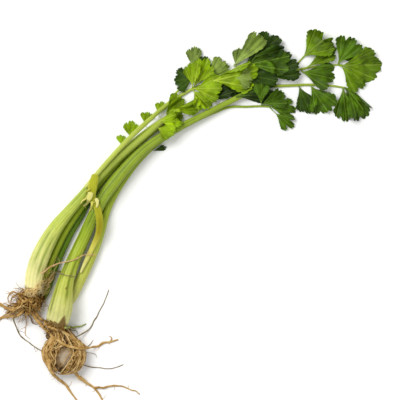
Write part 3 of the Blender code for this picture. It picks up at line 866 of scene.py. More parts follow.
@dataclass
class Stalk:
    """A ribbed stalk that follows its node.

    Args:
        name: of its node.
        finish: of its skin.
        route: along, across and width of each point.
        ribs: ridges round it.
        depth: of the grooves between them, as a share of its half width.
        green_from: stations at which its foot is pale and at which it has turned green.
        channels: angle round it, first and last station, and depth share of each deep furrow, which is also
            darkened with painted shade.
        shade_bands: angle round it, half width of it, first and last station, and strength of painted shade
            along one side.
        scars: station of the base and of the tip, across, and half width at the base of brown scars.
        edge_highlights: whether its two edges carry a painted highlight.
        foot_taper: length over which its foot thins out, mm.
        twist: radians for each station.
        ring_step: spacing of its sections, mm.
    """

    name: str
    finish: Finish
    route: tuple[Row, ...]
    ribs: int = 12
    depth: float = 0.05
    green_from: Point = (20.0, 120.0)
    channels: tuple[Row, ...] = ()
    shade_bands: tuple[Row, ...] = ()
    scars: tuple[Row, ...] = ()
    edge_highlights: bool = False
    foot_taper: float = 0.0
    twist: float = 0.0
    ring_step: float = 2.0

    def build(self, bunch: "Bunch") -> None:
        """Lofts the stalk through ribbed sections and lays it on the bed."""
        line = smooth_route(bunch.bend.in_plan([(*row, *row[:2]) for row in self.route]), self.ring_step)
        low, high = Solid(self.name).line(line)
        wide = line[:, 2] / 2
        tall = np.minimum(even_out((high - low) / 2 / SECTION_TOP, 4), wide * 1.02)
        spine = np.column_stack((line[:, :2], even_out((high + low) / 2, 4)))
        station, across = line[:, 3], line[:, 4]
        if self.foot_taper:
            thin = 0.3 + 0.7 * np.clip((station - station[0]) / self.foot_taper, 0.0, 1.0) ** 0.6
            wide, tall = wide * thin, tall * thin
        sides = self.ribs * 5
        angle = corners_round(sides)
        rng = np.random.default_rng(len(self.name) * 7 + self.ribs)
        phase = self.twist * (station - station[0])[:, None] + wander(rng, len(line), 9, 0.12)[:, None]
        ridge = np.abs(np.cos(0.5 * self.ribs * (angle + phase))) ** 0.7
        ridge *= 0.8 + 0.2 * np.cos(2.0 * angle + 1.0)
        swell = self.depth * (ridge - 0.75)
        # Painted shade in the hollows between the ribs.
        groove = np.clip(0.55 - ridge, 0.0, 1.0) * 0.7
        for turn, start, end, deep in self.channels:
            span = np.clip(np.minimum(station - start, end - station) / CHANNEL_FADE, 0.0, 1.0)[:, None]
            dip = np.exp(-((angle - math.radians(turn)) / CHANNEL_WIDTH) ** 2) * span
            swell = swell - deep * dip
            # Painted shade along each channel.
            groove = np.maximum(groove, dip)
        # Painted shade darkens one side of the stalk along these stretches.
        for turn, width, start, end, strength in self.shade_bands:
            span = np.clip(np.minimum(station - start, end - station) / BAND_FADE, 0.0, 1.0)[:, None]
            groove = np.maximum(groove, strength * span * np.clip(
                1.6 - 1.6 * np.abs(angle - math.radians(turn)) / math.radians(width), 0.0, 1.0))
        # Painted highlight along both edges.
        if self.edge_highlights:
            ridge = np.maximum(0.35 * ridge, np.abs(np.cos(angle)) ** 6) * np.ones_like(swell)
        spots = np.zeros_like(swell)
        offset = across[:, None] + wide[:, None] * np.cos(angle)
        for base, tip, over, half in self.scars:
            share = np.clip((tip - station[:, None]) / (tip - base), 0.0, SCAR_LIMIT)
            inside = (half * share - np.abs(offset - over)) / SCAR_EDGE + 0.5
            shown = (share > 0) * (share < SCAR_LIMIT) * (np.sin(angle) > -0.3)
            spots = np.maximum(spots, np.clip(inside, 0.0, 1.0) * shown)
        if station[0] < 60.0 and not self.edge_highlights:
            rim = 1.3 - (station[:, None] - station[0]) / (1.5 + 0.8 * np.sin(3.0 * angle + phase))
            spots = np.maximum(spots, 0.85 * np.clip(rim, 0.0, 1.0))
        start, end = self.green_from
        age = np.clip((station - start) / (end - start), 0.0, 1.0)[:, None]
        grid = tube(spine, wide, tall, sides, swell)
        form = Form(STALK_MARKS)
        form.skin(grid, stalk_marks(ridge, age=age, run=station[:, None] * RUN, groove=groove, stain=spots))
        form.finish(self.name + "_ribbed", [bunch.skins[self.finish]], [self.name], self.finish.value.slot)
        bunch.bed.lay(grid)
        bunch.spines[self.name] = spine


@dataclass
class Tie(Stalk):
    """The wilted stalk wound over both plants: a flattened, twisted, torn stalk.

    Args:
        flaps: age, width at the root, and route of each torn flap at its knot.
        flap_sides: corners round a flap.
    """

    flaps: tuple[tuple[float, float, tuple[Point, ...]], ...] = (
        (0.16, 6.4, ((150, 7.6), (146.5, 6.2), (142, 5.2), (137.5, 5.6), (133.5, 7.2))),
        (0.08, 5.0, ((148, -0.5), (146.5, -3.2), (143.5, -5.4), (140.5, -6.2))),
        (0.3, 3.2, ((143, 0.6), (139, -1.0), (135.5, -1.8), (132, -1.6))),
        (0.22, 2.6, ((146, 8.2), (141.5, 8.8), (138, 10.4), (134.6, 10.6))),
        (0.5, 2.0, ((153, 11.0), (149.5, 11.6), (146.5, 13.0))),
    )
    flap_sides: int = 24

    def build(self, bunch: "Bunch") -> None:
        """Lofts the band, then adds the torn flaps and fibres at its knot."""
        super().build(bunch)
        rng = np.random.default_rng(31)
        form = Form(STALK_MARKS)
        bunch.bed.settle()
        routes = list(self.flaps)
        for _ in range(7):
            along, across = rng.uniform(135.0, 150.0), rng.uniform(-5.0, 9.0)
            turn, reach = rng.uniform(2.0, 4.4), rng.uniform(3.0, 7.0)
            points = tuple((along + reach * t * math.cos(turn),
                            across + reach * t * math.sin(turn) + 1.2 * t * t)
                           for t in (0.0, 0.35, 0.7, 1.0))
            routes.append((float(rng.uniform(0.0, 0.4)), float(rng.uniform(0.5, 0.9)), points))
        for age, width, route in routes:
            plan = smooth_route(bunch.bend.in_plan(route), 0.8)
            t = np.linspace(0.0, 1.0, len(plan))
            lift = bunch.bed.tops(*plan.T) + 0.4 + rng.uniform(0.4, 1.5) * np.sin(math.pi * t)
            spine = np.column_stack((plan, even_out(lift, 2)))
            wide = width / 2 * (1.0 - 0.62 * t) * (1.0 + wander(rng, len(t), 4, 0.1))
            ridge = np.abs(np.cos(6.0 * corners_round(self.flap_sides) + 2.0 * t[:, None]))
            form.skin(tube(spine, wide, 0.42 + 0.08 * wide, self.flap_sides, 0.16 * (ridge - 0.6)),
                      stalk_marks(ridge * 0.8, age=age, run=t[:, None] * 0.1, groove=0.0, stain=0.0))
        form.finish("wilted_tie_torn_flaps", [bunch.skins[self.finish]], [], self.finish.value.slot)


STALKS: tuple[Stalk, ...] = (
    Stalk("right_side_stalk", Finish.GREEN, (
        (17, -17.0, 7.0), (24, -19.2, 8.6), (34, -21.6, 10.0), (50, -23.2, 11.0), (80, -25.3, 11.0),
        (100, -25.0, 11.0), (120, -22.5, 10.0),
        (135, -18.8, 9.0), (150, -15.0, 8.6), (170, -11.5, 8.0), (190, -8.4, 7.2), (210, -6.0, 6.4),
        (230, -4.6, 5.4), (250, -4.6, 4.4), (280, -5.2, 3.6), (310, -5.6, 3.0), (330, -6.4, 2.6),
        (350, -12.6, 2.4), (364, -16.0, 2.2), (373, -18.6, 2.2)), 10, 0.06, (0.0, 190.0),
        shade_bands=((180.0, 40.0, 100.0, 340.0, 0.35),), foot_taper=12.0),
    # Its darker finish is painted shade.
    Stalk("left_inner_stalk", Finish.DEEP, (
        (23, 6.4, 6.6), (36, 7.4, 8.8), (50, 8.0, 8.8), (64, 7.6, 8.0), (80, 6.6, 7.4), (100, 5.4, 6.6),
        (120, 3.8, 5.6), (140, 4.4, 4.8), (170, 6.0, 4.2), (205, 6.8, 3.6)), 8, 0.05, (16.0, 66.0),
        foot_taper=14.0),
    Stalk("left_middle_stalk", Finish.MOSS, (
        (40, 13.6, 6.0), (60, 13.2, 7.4), (80, 12.8, 7.6), (100, 11.6, 7.4), (120, 9.4, 7.0),
        (140, 8.0, 7.0), (165, 7.2, 6.8), (200, 7.6, 6.2), (240, 8.4, 5.0), (258, 9.4, 4.2),
        (270, 10.4, 3.2)), 9, 0.055, (20.0, 200.0), channels=((62.0, 50.0, 140.0, 0.08),), foot_taper=12.0),
    Stalk("right_main_stalk", Finish.GREEN, (
        (4.5, -15.2, 24.5), (20, -14.4, 26.0), (35, -12.0, 22.0), (50, -9.8, 18.0), (70, -9.2, 15.6),
        (100, -9.6, 14.0), (130, -8.0, 13.2), (150, -5.4, 14.0), (175, -3.8, 13.4), (200, -2.0, 12.0),
        (220, -0.8, 10.6), (240, -0.9, 9.4), (260, -2.2, 8.6), (280, -3.5, 7.4), (300, -3.4, 6.6),
        (320, -2.0, 6.2), (340, 0.0, 6.0), (352, 1.8, 5.4), (362, 3.2, 4.4)), 14, 0.045, (4.0, 120.0),
        channels=((57.0, 44.0, 84.0, 0.07), (40.0, 6.0, 120.0, 0.03), (118.0, 24.0, 84.0, 0.04),
                  (78.0, 112.0, 300.0, 0.05)),
        shade_bands=((22.0, 40.0, 14.0, 112.0, 0.4), (165.0, 30.0, 60.0, 350.0, 0.4),
               (20.0, 26.0, 120.0, 340.0, 0.4)),
        scars=((3.5, 16.5, -21.6, 5.2), (42.4, 45.0, -13.6, 1.1))),
    Stalk("left_outer_stalk", Finish.PALE, (
        (31, 21.6, 17.4), (37, 22.6, 18.6), (45, 24.2, 19.4), (60, 25.4, 20.0), (80, 24.6, 18.6),
        (100, 22.0, 15.6),
        (120, 17.6, 12.4), (135, 14.8, 11.2), (150, 13.0, 10.4), (175, 12.0, 9.8), (200, 11.6, 9.8),
        (220, 11.0, 9.4), (240, 11.4, 8.6), (260, 12.4, 6.6), (274, 13.0, 4.6)), 14, 0.05, (26.0, 150.0),
        channels=((70.0, 52.0, 104.0, 0.06), (116.0, 40.0, 96.0, 0.04), (60.0, 120.0, 250.0, 0.05)),
        shade_bands=((160.0, 34.0, 60.0, 260.0, 0.45), (62.0, 16.0, 46.0, 120.0, 0.3))),
    Stalk("young_leaf_stalk", Finish.PALE, (
        (152, 16.0, 4.2), (175, 15.8, 4.8), (200, 16.9, 5.2), (225, 18.6, 5.4), (240, 20.2, 5.2),
        (250, 21.8, 4.8), (262, 24.2, 4.4), (280, 26.8, 3.8), (294, 27.8, 3.2), (300, 28.2, 2.8)),
        8, 0.06, (60.0, 260.0)),
)

TIE = Tie("wilted_tie", Finish.WILTED, (
    (66, -21.4, 2.4), (80, -22.2, 4.4), (100, -23.2, 5.6), (112, -23.0, 6.6), (122, -20.4, 7.4),
    (130, -16.4, 7.8), (137, -10.8, 7.6), (142, -5.0, 7.6), (144, 0.0, 7.6), (147, 4.4, 8.4),
    (153, 8.6, 9.6), (160, 12.2, 9.6), (167, 15.8, 7.4)), 11, 0.2, (64.0, 150.0),
    shade_bands=((95.0, 34.0, 100.0, 146.0, 0.5),), edge_highlights=True, twist=0.05, ring_step=1.2)


@dataclass
class Stem:
    """A thin leaf stem that follows its node.

    Args:
        name: of its node.
        radii: at its foot and at its end, mm.
        route: along and across of each point.
        sides: corners round it.
    """

    name: str
    radii: Point
    route: tuple[Point, ...]
    sides: int = 18

    def build(self, bunch: "Bunch") -> None:
        """Lofts the stem with three soft ribs."""
        line = smooth_route(bunch.bend.in_plan([(a, c, a) for a, c in self.route]), 1.6)
        low, high = Solid(self.name).line(line)
        radius = np.linspace(*self.radii, len(line))
        spine = np.column_stack((line[:, :2], (low + high) / 2))
        ridge = np.abs(np.cos(2.5 * corners_round(self.sides))) * np.ones((len(line), 1))
        grid = tube(spine, radius, radius, self.sides, 0.1 * (ridge - 0.6))
        form = Form(STALK_MARKS)
        form.skin(grid, stalk_marks(ridge, age=0.9, run=line[:, 2:3] * RUN, groove=0.0, stain=0.0))
        form.finish(self.name + "_ribbed", [bunch.skins[Finish.GREEN]], [self.name], "stalk")
        bunch.bed.lay(grid)
        bunch.spines[self.name] = spine


STEMS: tuple[Stem, ...] = (
    Stem("leaf_stem_low", (1.7, 1.0), (
        (365, 1.6), (378, 2.6), (390, 1.0), (402, -1.0), (416, -2.6), (428, -4.4), (440, -6.6),
        (452, -9.2), (461, -11.8))),
    Stem("leaf_stem_high", (1.6, 0.9), (
        (366, 5.8), (380, 10.4), (395, 13.2), (412, 14.6), (430, 15.4), (445, 15.0), (457, 14.2))),
    Stem("leaf_stem_top", (1.0, 0.8), ((402, 16.6), (412, 20.8), (420, 27.0))),
    Stem("leaf_stem_back", (1.3, 0.9), ((362, 7.4), (365, 18.0), (363, 27.0), (356, 33.0))),
    Stem("leaf_stem_left", (1.3, 0.9), ((277, 29.6), (290, 34.2), (302, 39.4), (310, 44.6))),
    Stem("leaf_stem_young", (1.4, 1.0), ((303, 28.2), (312, 27.6), (322, 27.0))),
)


LOBES = (0.5, 1.5, 2.5)       # middles of a leaflet's three lobes
CURL_RADIUS = 0.055           # of the turned tips, as a share of the length
FOLD_RADIUS = 0.05            # of a folded side, likewise
RELIEF_LENGTH = 35.0          # length at which a leaflet has the full height of its relief, mm
RIB_LENGTH = 36.0             # length at which its stem has the radii below, mm
RIB_RADII = (0.95, 0.62, 0.2)
RIB_REACH = 14.0              # farthest that it grows from its parent stem, mm


@dataclass
class Leaflet:
    """One lobed blade with toothed edges, which springs from its stem and drapes over what lies below.

    Args:
        name: of its node, or of the piece where it has none.
        stem: the stalk or stem that it grows on.
        finish: of its blade.
        at: along and across of its foot.
        turn: its direction from the bend, degrees.
        length: foot to tip, mm.
        half: half the angle of its fan, degrees.
        tone: 0 dark to 1 light.
        curl: degrees that the tip of each lobe turns over, right to left.
        fold: share of the half angle at which a side folds over, and degrees.
        own_node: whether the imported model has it.
        relief: share of the full relief of its surface.
        cut: depth of the gaps between its lobes, as a share of its length.
        rows, columns: of its grid, from foot to edge and from side to side.
        thickness: of the blade, mm.
        curl_start: where its lobes begin to turn over, as a share of its length.
        teeth: on each lobe.
    """

    name: str
    stem: str
    finish: Finish
    at: Point
    turn: float
    length: float
    half: float
    tone: float = 0.5
    curl: tuple[float, float, float] = (0.0, 0.0, 0.0)
    fold: Point | None = None
    own_node: bool = True
    relief: float = 1.0
    cut: float = 0.1
    rows: int = 40
    columns: int = 96
    thickness: float = 0.45
    curl_start: float = 0.68
    teeth: float = 3.0

    def reach_of(self, u: np.ndarray, a: np.ndarray, rng: np.random.Generator) -> np.ndarray:
        """Distance from the foot: three broad lobes whose outer edge has rounded teeth.

        Args:
            u: share of the length, one column.
            a: share of the half angle, one row.
            rng: gives the leaflet its own lobes.

        Returns:
            The distances, mm.
        """
        lobe = (a + 1.0) * 1.5 + 0.1 * np.sin(math.pi * (a + 1.0))
        border = np.minimum(np.abs(lobe - 1.0), np.abs(lobe - 2.0))
        sinus = rng.uniform(0.8, 1.2) * self.cut * np.exp(-(border / 0.15) ** 2) + 0.03 * np.exp(
            -(border / 0.4) ** 2)
        crooked = self.teeth * lobe + 0.28 * np.sin(4.0 * a + rng.uniform(0.0, 6.0))
        teeth = np.abs(np.sin(math.pi * crooked))
        depth = min(rng.uniform(2.0, 2.8) / self.length, 0.1)
        smooth = self.length * (1.0 - 0.14 * a ** 2 - 0.06 * a ** 6) * (
            1.0 + 0.04 * np.sin(3.0 * a + rng.uniform(0.0, 6.0)))
        notched = smooth * (1.0 - sinus) * (1.0 - depth * (1.0 - teeth ** 0.6))
        inner = smooth * (1.0 - 0.75 * sinus)
        ease = np.clip((u - 0.6) / 0.4, 0.0, 1.0) ** 1.2
        return (inner + (notched - inner) * ease) * (0.02 + 0.98 * u) * 1.03

    def build(self, bunch: "Bunch") -> None:
        """Shapes the blade, drapes it, gives it a wall and joins it to its stem."""
        rng = np.random.default_rng(sum(map(ord, self.name)))
        start = np.array(bunch.bend.place(*self.at))
        heading = bunch.bend.heading(self.at[0]) + math.radians(self.turn)
        half = math.radians(self.half)
        u = np.linspace(0.0, 1.0, self.rows + 1)[:, None] ** 0.88
        a = np.linspace(-1.0, 1.0, self.columns + 1)[None, :]
        narrow = 0.62 + 0.38 * np.clip(u / 0.5, 0.0, 1.0) ** 0.8
        teeth = np.abs(np.sin(math.pi * 5.0 * u ** 1.3)) ** 0.6 * np.clip((u - 0.42) * 4.0, 0.0, 1.0)
        reach = self.reach_of(u, a, rng)
        swing = a * half * narrow * (1.0 + 0.11 * teeth * np.abs(a) ** 4)
        right, tip, left = np.radians(self.curl)
        most = np.interp(a, (-0.8, -0.3, 0.0, 0.3, 0.8), (right, right, tip, left, left))
        line = self.length * self.curl_start
        run, lift = turn_over(reach - line, self.length * CURL_RADIUS, most)
        ahead, aside = (line + run) * np.cos(swing), (line + run) * np.sin(swing)
        if self.fold is not None:
            share, degrees = self.fold
            side = math.copysign(1.0, share)
            way = share * half * 0.9
            out = side * (aside * math.cos(way) - ahead * math.sin(way))
            on = ahead * math.cos(way) + aside * math.sin(way)
            over, rise = turn_over(out, self.length * FOLD_RADIUS, math.radians(degrees))
            ahead, aside = (on * math.cos(way) - side * over * math.sin(way),
                            on * math.sin(way) + side * over * math.cos(way))
            lift = lift + rise
        x = start[0] + ahead * math.cos(heading) - aside * math.sin(heading)
        y = start[1] + ahead * math.sin(heading) + aside * math.cos(heading)
        z = self.drape(bunch, rng, x, y, u, a, reach) + lift
        grid = np.stack((x, y, z), axis=2)
        form = Form(("tint", "stem"))
        tint = self.tone + 0.12 * np.sin(2.0 * a + rng.uniform(0.0, 6.0)) * u
        # Painted shade and highlight: hollows of the relief are darkened and its crests lightened.
        tint = tint + np.clip(0.9 * (z - soften(z, 30)), -0.7, 0.7)
        foot = np.clip(1.0 - u / 0.1, 0.0, 1.0) * np.ones_like(a)
        verts = form.skin(grid, {"tint": tint, "stem": foot})
        form.wall(verts, self.thickness)
        self.add_rib(bunch, form, grid, start)
        nodes = [self.name] if self.own_node else []
        form.finish(self.name + "_blade", list(bunch.blades[self.finish]), nodes, self.finish.value.slot)
        bunch.bed.lay(grid)

    def drape(self, bunch: "Bunch", rng: np.random.Generator, x: np.ndarray, y: np.ndarray,
              u: np.ndarray, a: np.ndarray, reach: np.ndarray) -> np.ndarray:
        """Heights of the blade: its node's, with the relief of a living leaf, clear of what lies below.

        Args:
            bunch: the bunch, for its bed.
            rng: gives the leaflet its own relief.
            x, y: plan of the blade.
            u: share of the length, one column.
            a: share of the half angle, one row.
            reach: distance from the foot.

        Returns:
            The heights, mm.
        """
        bunch.bed.settle()
        floor = bunch.bed.tops(x, y)
        floor = np.where(floor > 0.0, floor + AIR, 0.0) + self.thickness
        own = self.own_heights(x, y) if self.own_node else floor + 0.8 + 0.06 * reach
        z = np.maximum(soften(own, 8) + self.relief_of(rng, x, y, u, a), floor)
        for _ in range(3):
            z = np.maximum(soften(z, 1), floor)
        return z

    def own_heights(self, x: np.ndarray, y: np.ndarray) -> np.ndarray:
        """Heights of the node's top over plan points, or of its nearest point beside it."""
        solid = Solid(self.name)
        own = np.empty_like(x)
        last = 0.5 * (solid.low[2] + solid.high[2])
        for i, j in np.ndindex(*x.shape):
            height = solid.strike(x[i, j], y[i, j], True)
            last = solid.nearest(x[i, j], y[i, j], last) if height is None else height
            own[i, j] = last
        return own

    def relief_of(self, rng: np.random.Generator, x: np.ndarray, y: np.ndarray, u: np.ndarray,
                  a: np.ndarray) -> np.ndarray:
        """Creases along the main veins, lobes that tilt each its own way, waves and blisters.

        Args:
            rng: gives the leaflet its own relief.
            x, y: plan of the blade.
            u: share of the length, one column.
            a: share of the half angle, one row.

        Returns:
            Height added at each point, mm.
        """
        size = self.length / RELIEF_LENGTH * self.relief
        lobe = (a + 1.0) * 1.5
        off = np.abs(lobe - np.floor(np.minimum(lobe, 2.999)) - 0.5) * 2.0
        relief = rng.uniform(1.2, 2.2) * size * (off ** 1.3 - 0.5) * np.clip(u * 1.6, 0.0, 1.0) * u
        shares = [np.clip(1.0 - np.abs(lobe - middle), 0.0, 1.0) for middle in LOBES]
        for share, middle in zip(shares, LOBES):
            pitch = rng.normal(0.5, 2.8) * size * u ** 1.6
            tilt = rng.uniform(-5.0, 5.0) * size * (lobe - middle) * u
            relief = relief + share / sum(shares) * (pitch + tilt)
        for wave, depth in ((6.0, 1.9), (2.6, 0.7)):
            turn, phase = rng.uniform(0.0, math.pi), rng.uniform(0.0, 6.0, 2)
            across = x * math.cos(turn) + y * math.sin(turn)
            along = y * math.cos(turn) - x * math.sin(turn)
            relief = relief + depth * size * np.sin(across / wave + phase[0]) * np.sin(
                along / wave / 1.3 + phase[1]) * np.clip(u * 2.0, 0.0, 1.0)
        frill = rng.uniform(0.5, 1.1) * size * u ** 7 * np.sin(
            math.pi * (8.0 * lobe + rng.uniform(0.0, 2.0)))
        blister = 0.34 * size * np.abs(np.sin(math.pi * 7.0 * (u - 0.45 * off * u))) * np.clip(
            off * 3.0, 0, 1)
        return relief + frill + blister * np.clip(u * 2.0, 0.0, 1.0)

    def add_rib(self, bunch: "Bunch", form: Form, grid: np.ndarray, start: np.ndarray) -> None:
        """Adds the leaflet's own little stem, from its parent stem into its midrib.

        Args:
            bunch: the bunch, for the stems' lines.
            form: the mesh of the blade.
            grid: points of the blade.
            start: plan point of its foot.
        """
        middle = grid[:, self.columns // 2]
        taken = middle[[1, 4, 8, 12, 17, 22]]
        head = [taken[0] + (taken[0] - taken[2]) * 0.2]
        spine = bunch.spines.get(self.stem)
        if spine is not None:
            nearest = spine[np.hypot(spine[:, 0] - start[0], spine[:, 1] - start[1]).argmin()]
            if np.linalg.norm(nearest[:2] - start) < RIB_REACH:
                head = [nearest, 0.5 * (nearest + head[0])]
        line = smooth_route([tuple(p) for p in (*head, *taken)], 1.6)
        radius = np.interp(np.linspace(0, 1, len(line)), (0.0, 0.35, 1.0), RIB_RADII)
        radius *= self.length / RIB_LENGTH
        line[:, 2] += 0.12 - radius * 0.25
        ones = np.ones((len(line) + 6, 9))
        form.skin(tube(line, radius, radius, 8), {"tint": ones * 0.7, "stem": ones})


def leaflets() -> list[Leaflet]:
    """Every leaflet, lowest first in each group."""
    leaf, top, dark, young, wan = Finish.LEAF, Finish.TOP, Finish.DARK, Finish.YOUNG, Finish.WAN
    return [
        # The leaf_under leaflets lie beneath others; their dark finish and low tone are painted shade.
        Leaflet("leaf_under_main", "right_main_stalk", dark, (322, 9.0), -5, 46, 18, 0.2, relief=0.3),
        Leaflet("leaf_edge_2", "left_outer_stalk", young, (220, 18.6), 45, 19, 36, 0.8, relief=0.5),
        Leaflet("leaf_edge_3", "left_outer_stalk", young, (240, 20.6), 40, 15, 36, 0.8, relief=0.5),
        Leaflet("leaf_edge_1", "left_outer_stalk", young, (208, 19.6), 52, 12, 30, 0.9,
                own_node=False, relief=0.6),
        Leaflet("leaf_edge_4", "left_outer_stalk", young, (257, 21.6), 38, 15, 34, 0.8,
                own_node=False, relief=0.6),
        Leaflet("leaf_right_low", "right_side_stalk", dark, (230, -8.2), -20, 15, 15, 0.5,
                own_node=False, relief=0.6),
        Leaflet("leaf_under_fold", "right_main_stalk", dark, (340, 2), -14, 42, 18, 0.1,
                own_node=False, relief=0.6),
        Leaflet("leaf_under_young", "young_leaf_stalk", dark, (300, 12), 6, 44, 22, 0.1,
                own_node=False, relief=0.4),
        Leaflet("leaf_under_back", "leaf_stem_back", dark, (350, 18), 14, 46, 34, 0.1,
                own_node=False, relief=0.4),
        Leaflet("leaf_low_5", "leaf_stem_low", dark, (462, -12.2), -74, 36, 15, 0.1, own_node=False),
        Leaflet("leaf_low_1", "leaf_stem_low", dark, (411, -3.6), -77, 31, 29, 0.9, (0, 0, 50), cut=0.05),
        Leaflet("leaf_low_2", "leaf_stem_low", leaf, (424, -5.2), -65, 35, 34, 0.6, (0, 30, 0), cut=0.08),
        Leaflet("leaf_low_3", "leaf_stem_low", leaf, (459, -12.4), -90, 35, 28, 0.5, cut=0.07),
        Leaflet("leaf_low_4", "leaf_stem_low", leaf, (464, -12.2), -60, 39, 31, 0.6,
                fold=(0.45, 120), cut=0.08),
        Leaflet("leaf_high_6", "leaf_stem_high", leaf, (458, 20.0), 16, 28, 32, 0.2, own_node=False),
        Leaflet("leaf_high_1", "leaf_stem_high", leaf, (416, 11.8), -21, 38, 30, 0.6, (20, 0, 0), cut=0.08),
        Leaflet("leaf_high_2", "leaf_stem_high", top, (423, 15.6), 25, 38, 19, 0.6, cut=0.06),
        Leaflet("leaf_high_3", "leaf_stem_high", leaf, (457, 15.0), 54, 34, 34, 0.8, (0, 0, 30), cut=0.1),
        Leaflet("leaf_high_4", "leaf_stem_high", top, (461, 13.0), -5, 42, 34, 0.6, cut=0.07),
        Leaflet("leaf_high_5", "leaf_stem_high", top, (460, 12.0), -46, 34, 32, 0.9,
                fold=(0.15, 140), cut=0.08),
        Leaflet("leaf_top", "leaf_stem_top", top, (421, 28.0), 32, 38, 38, 0.5, (0, 110, 50), cut=0.04),
        Leaflet("leaf_dark_1", "leaf_stem_high", dark, (375, 14.0), 9, 42, 28, 0.4, cut=0.08),
        Leaflet("leaf_dark_2", "leaf_stem_back", dark, (355, 23.0), -28, 37, 38, 0.7, cut=0.08),
        Leaflet("leaf_dark_3", "leaf_stem_back", leaf, (359, 32.0), -5, 50, 26, 0.3,
                fold=(0.3, 50), cut=0.07),
        Leaflet("leaf_dark_4", "leaf_stem_back", dark, (370, 37.0), 26, 36, 36, 0.8, cut=0.1),
        Leaflet("leaf_pale_2", "leaf_stem_back", wan, (350, 34.0), 60, 20, 25, 0.3,
                own_node=False, cut=0.04),
        Leaflet("leaf_pale_1", "leaf_stem_back", wan, (347, 34.0), 29, 48, 15, 0.9, cut=0.03),
        Leaflet("leaf_side_1", "right_side_stalk", leaf, (374, -19.0), -20, 29, 29, 0.6, cut=0.16),
        Leaflet("leaf_side_2", "right_side_stalk", leaf, (379, -28.0), -50, 24, 31, 0.8, cut=0.22),
        Leaflet("leaf_side_3", "right_side_stalk", leaf, (366, -15.0), 13, 28, 36, 0.7,
                fold=(0.4, 80), cut=0.08),
        Leaflet("leaf_side_4", "right_side_stalk", leaf, (365, -13.6), 74, 23, 28, 0.8, cut=0.06),
        Leaflet("leaf_left_1", "leaf_stem_left", dark, (306, 38.0), 162, 22, 46, 0.9, cut=0.08),
        Leaflet("leaf_left_2", "leaf_stem_left", dark, (312, 44.0), 28, 19, 40, 0.9, cut=0.08),
        Leaflet("leaf_left_3", "leaf_stem_left", wan, (310, 47.0), 66, 25, 25, 0.5, cut=0.03),
        Leaflet("leaf_left_4", "leaf_stem_young", wan, (319, 32.6), 13, 29, 34, 0.9, (0, 40, 0), cut=0.08),
        Leaflet("leaf_crisp_4", "left_middle_stalk", young, (264, 18.0), 8, 27, 32, 0.3, own_node=False),
        Leaflet("leaf_crisp_5", "left_middle_stalk", young, (258, 14.0), -20, 24, 34, 0.2, own_node=False),
        Leaflet("leaf_crisp_1", "left_middle_stalk", young, (272, 14.6), -4, 30, 32, 0.9, fold=(0.1, 120)),
        Leaflet("leaf_crisp_2", "left_middle_stalk", young, (249, 9.0), -57, 19, 40, 0.6, cut=0.06),
        Leaflet("leaf_crisp_3", "left_middle_stalk", young, (255, 14.0), -35, 26, 34, 0.9, (0, 60, 90)),
        Leaflet("leaf_young_1", "young_leaf_stalk", young, (301, 25.6), -72, 25, 42, 0.3, cut=0.07),
        Leaflet("leaf_young_2", "young_leaf_stalk", young, (302, 27.6), -24, 32, 36, 0.6, cut=0.07),
        Leaflet("leaf_young_4", "young_leaf_stalk", young, (302, 30.4), 70, 25, 27, 0.6, cut=0.06),
        Leaflet("leaf_young_3", "young_leaf_stalk", young, (303, 29.6), 37, 33, 28, 0.5, cut=0.1),
        Leaflet("leaf_young_6", "leaf_stem_young", young, (323, 26.6), -8, 49, 34, 0.3,
                fold=(0.4, 130), cut=0.07),
        Leaflet("leaf_young_5", "leaf_stem_young", wan, (347, 20.6), -24, 18, 46, 1.0, cut=0.09),
    ]


# ------------------------------------------------------------------------------------ crowns and roots
STRAND_MARKS = ("tint",)


def add_strand(form: Form, line: np.ndarray, radius: np.ndarray, sides: int, tone: float) -> None:
    """Adds one closed strand to a mesh.

    Args:
        form: the mesh.
        line: middle of the strand.
        radius: at each point of it.
        sides: corners round it.
        tone: its own tone, 0 dark to 1 light.
    """
    grid = tube(line, radius, radius, sides)
    form.skin(grid, {"tint": np.full(grid.shape[:2], tone)})


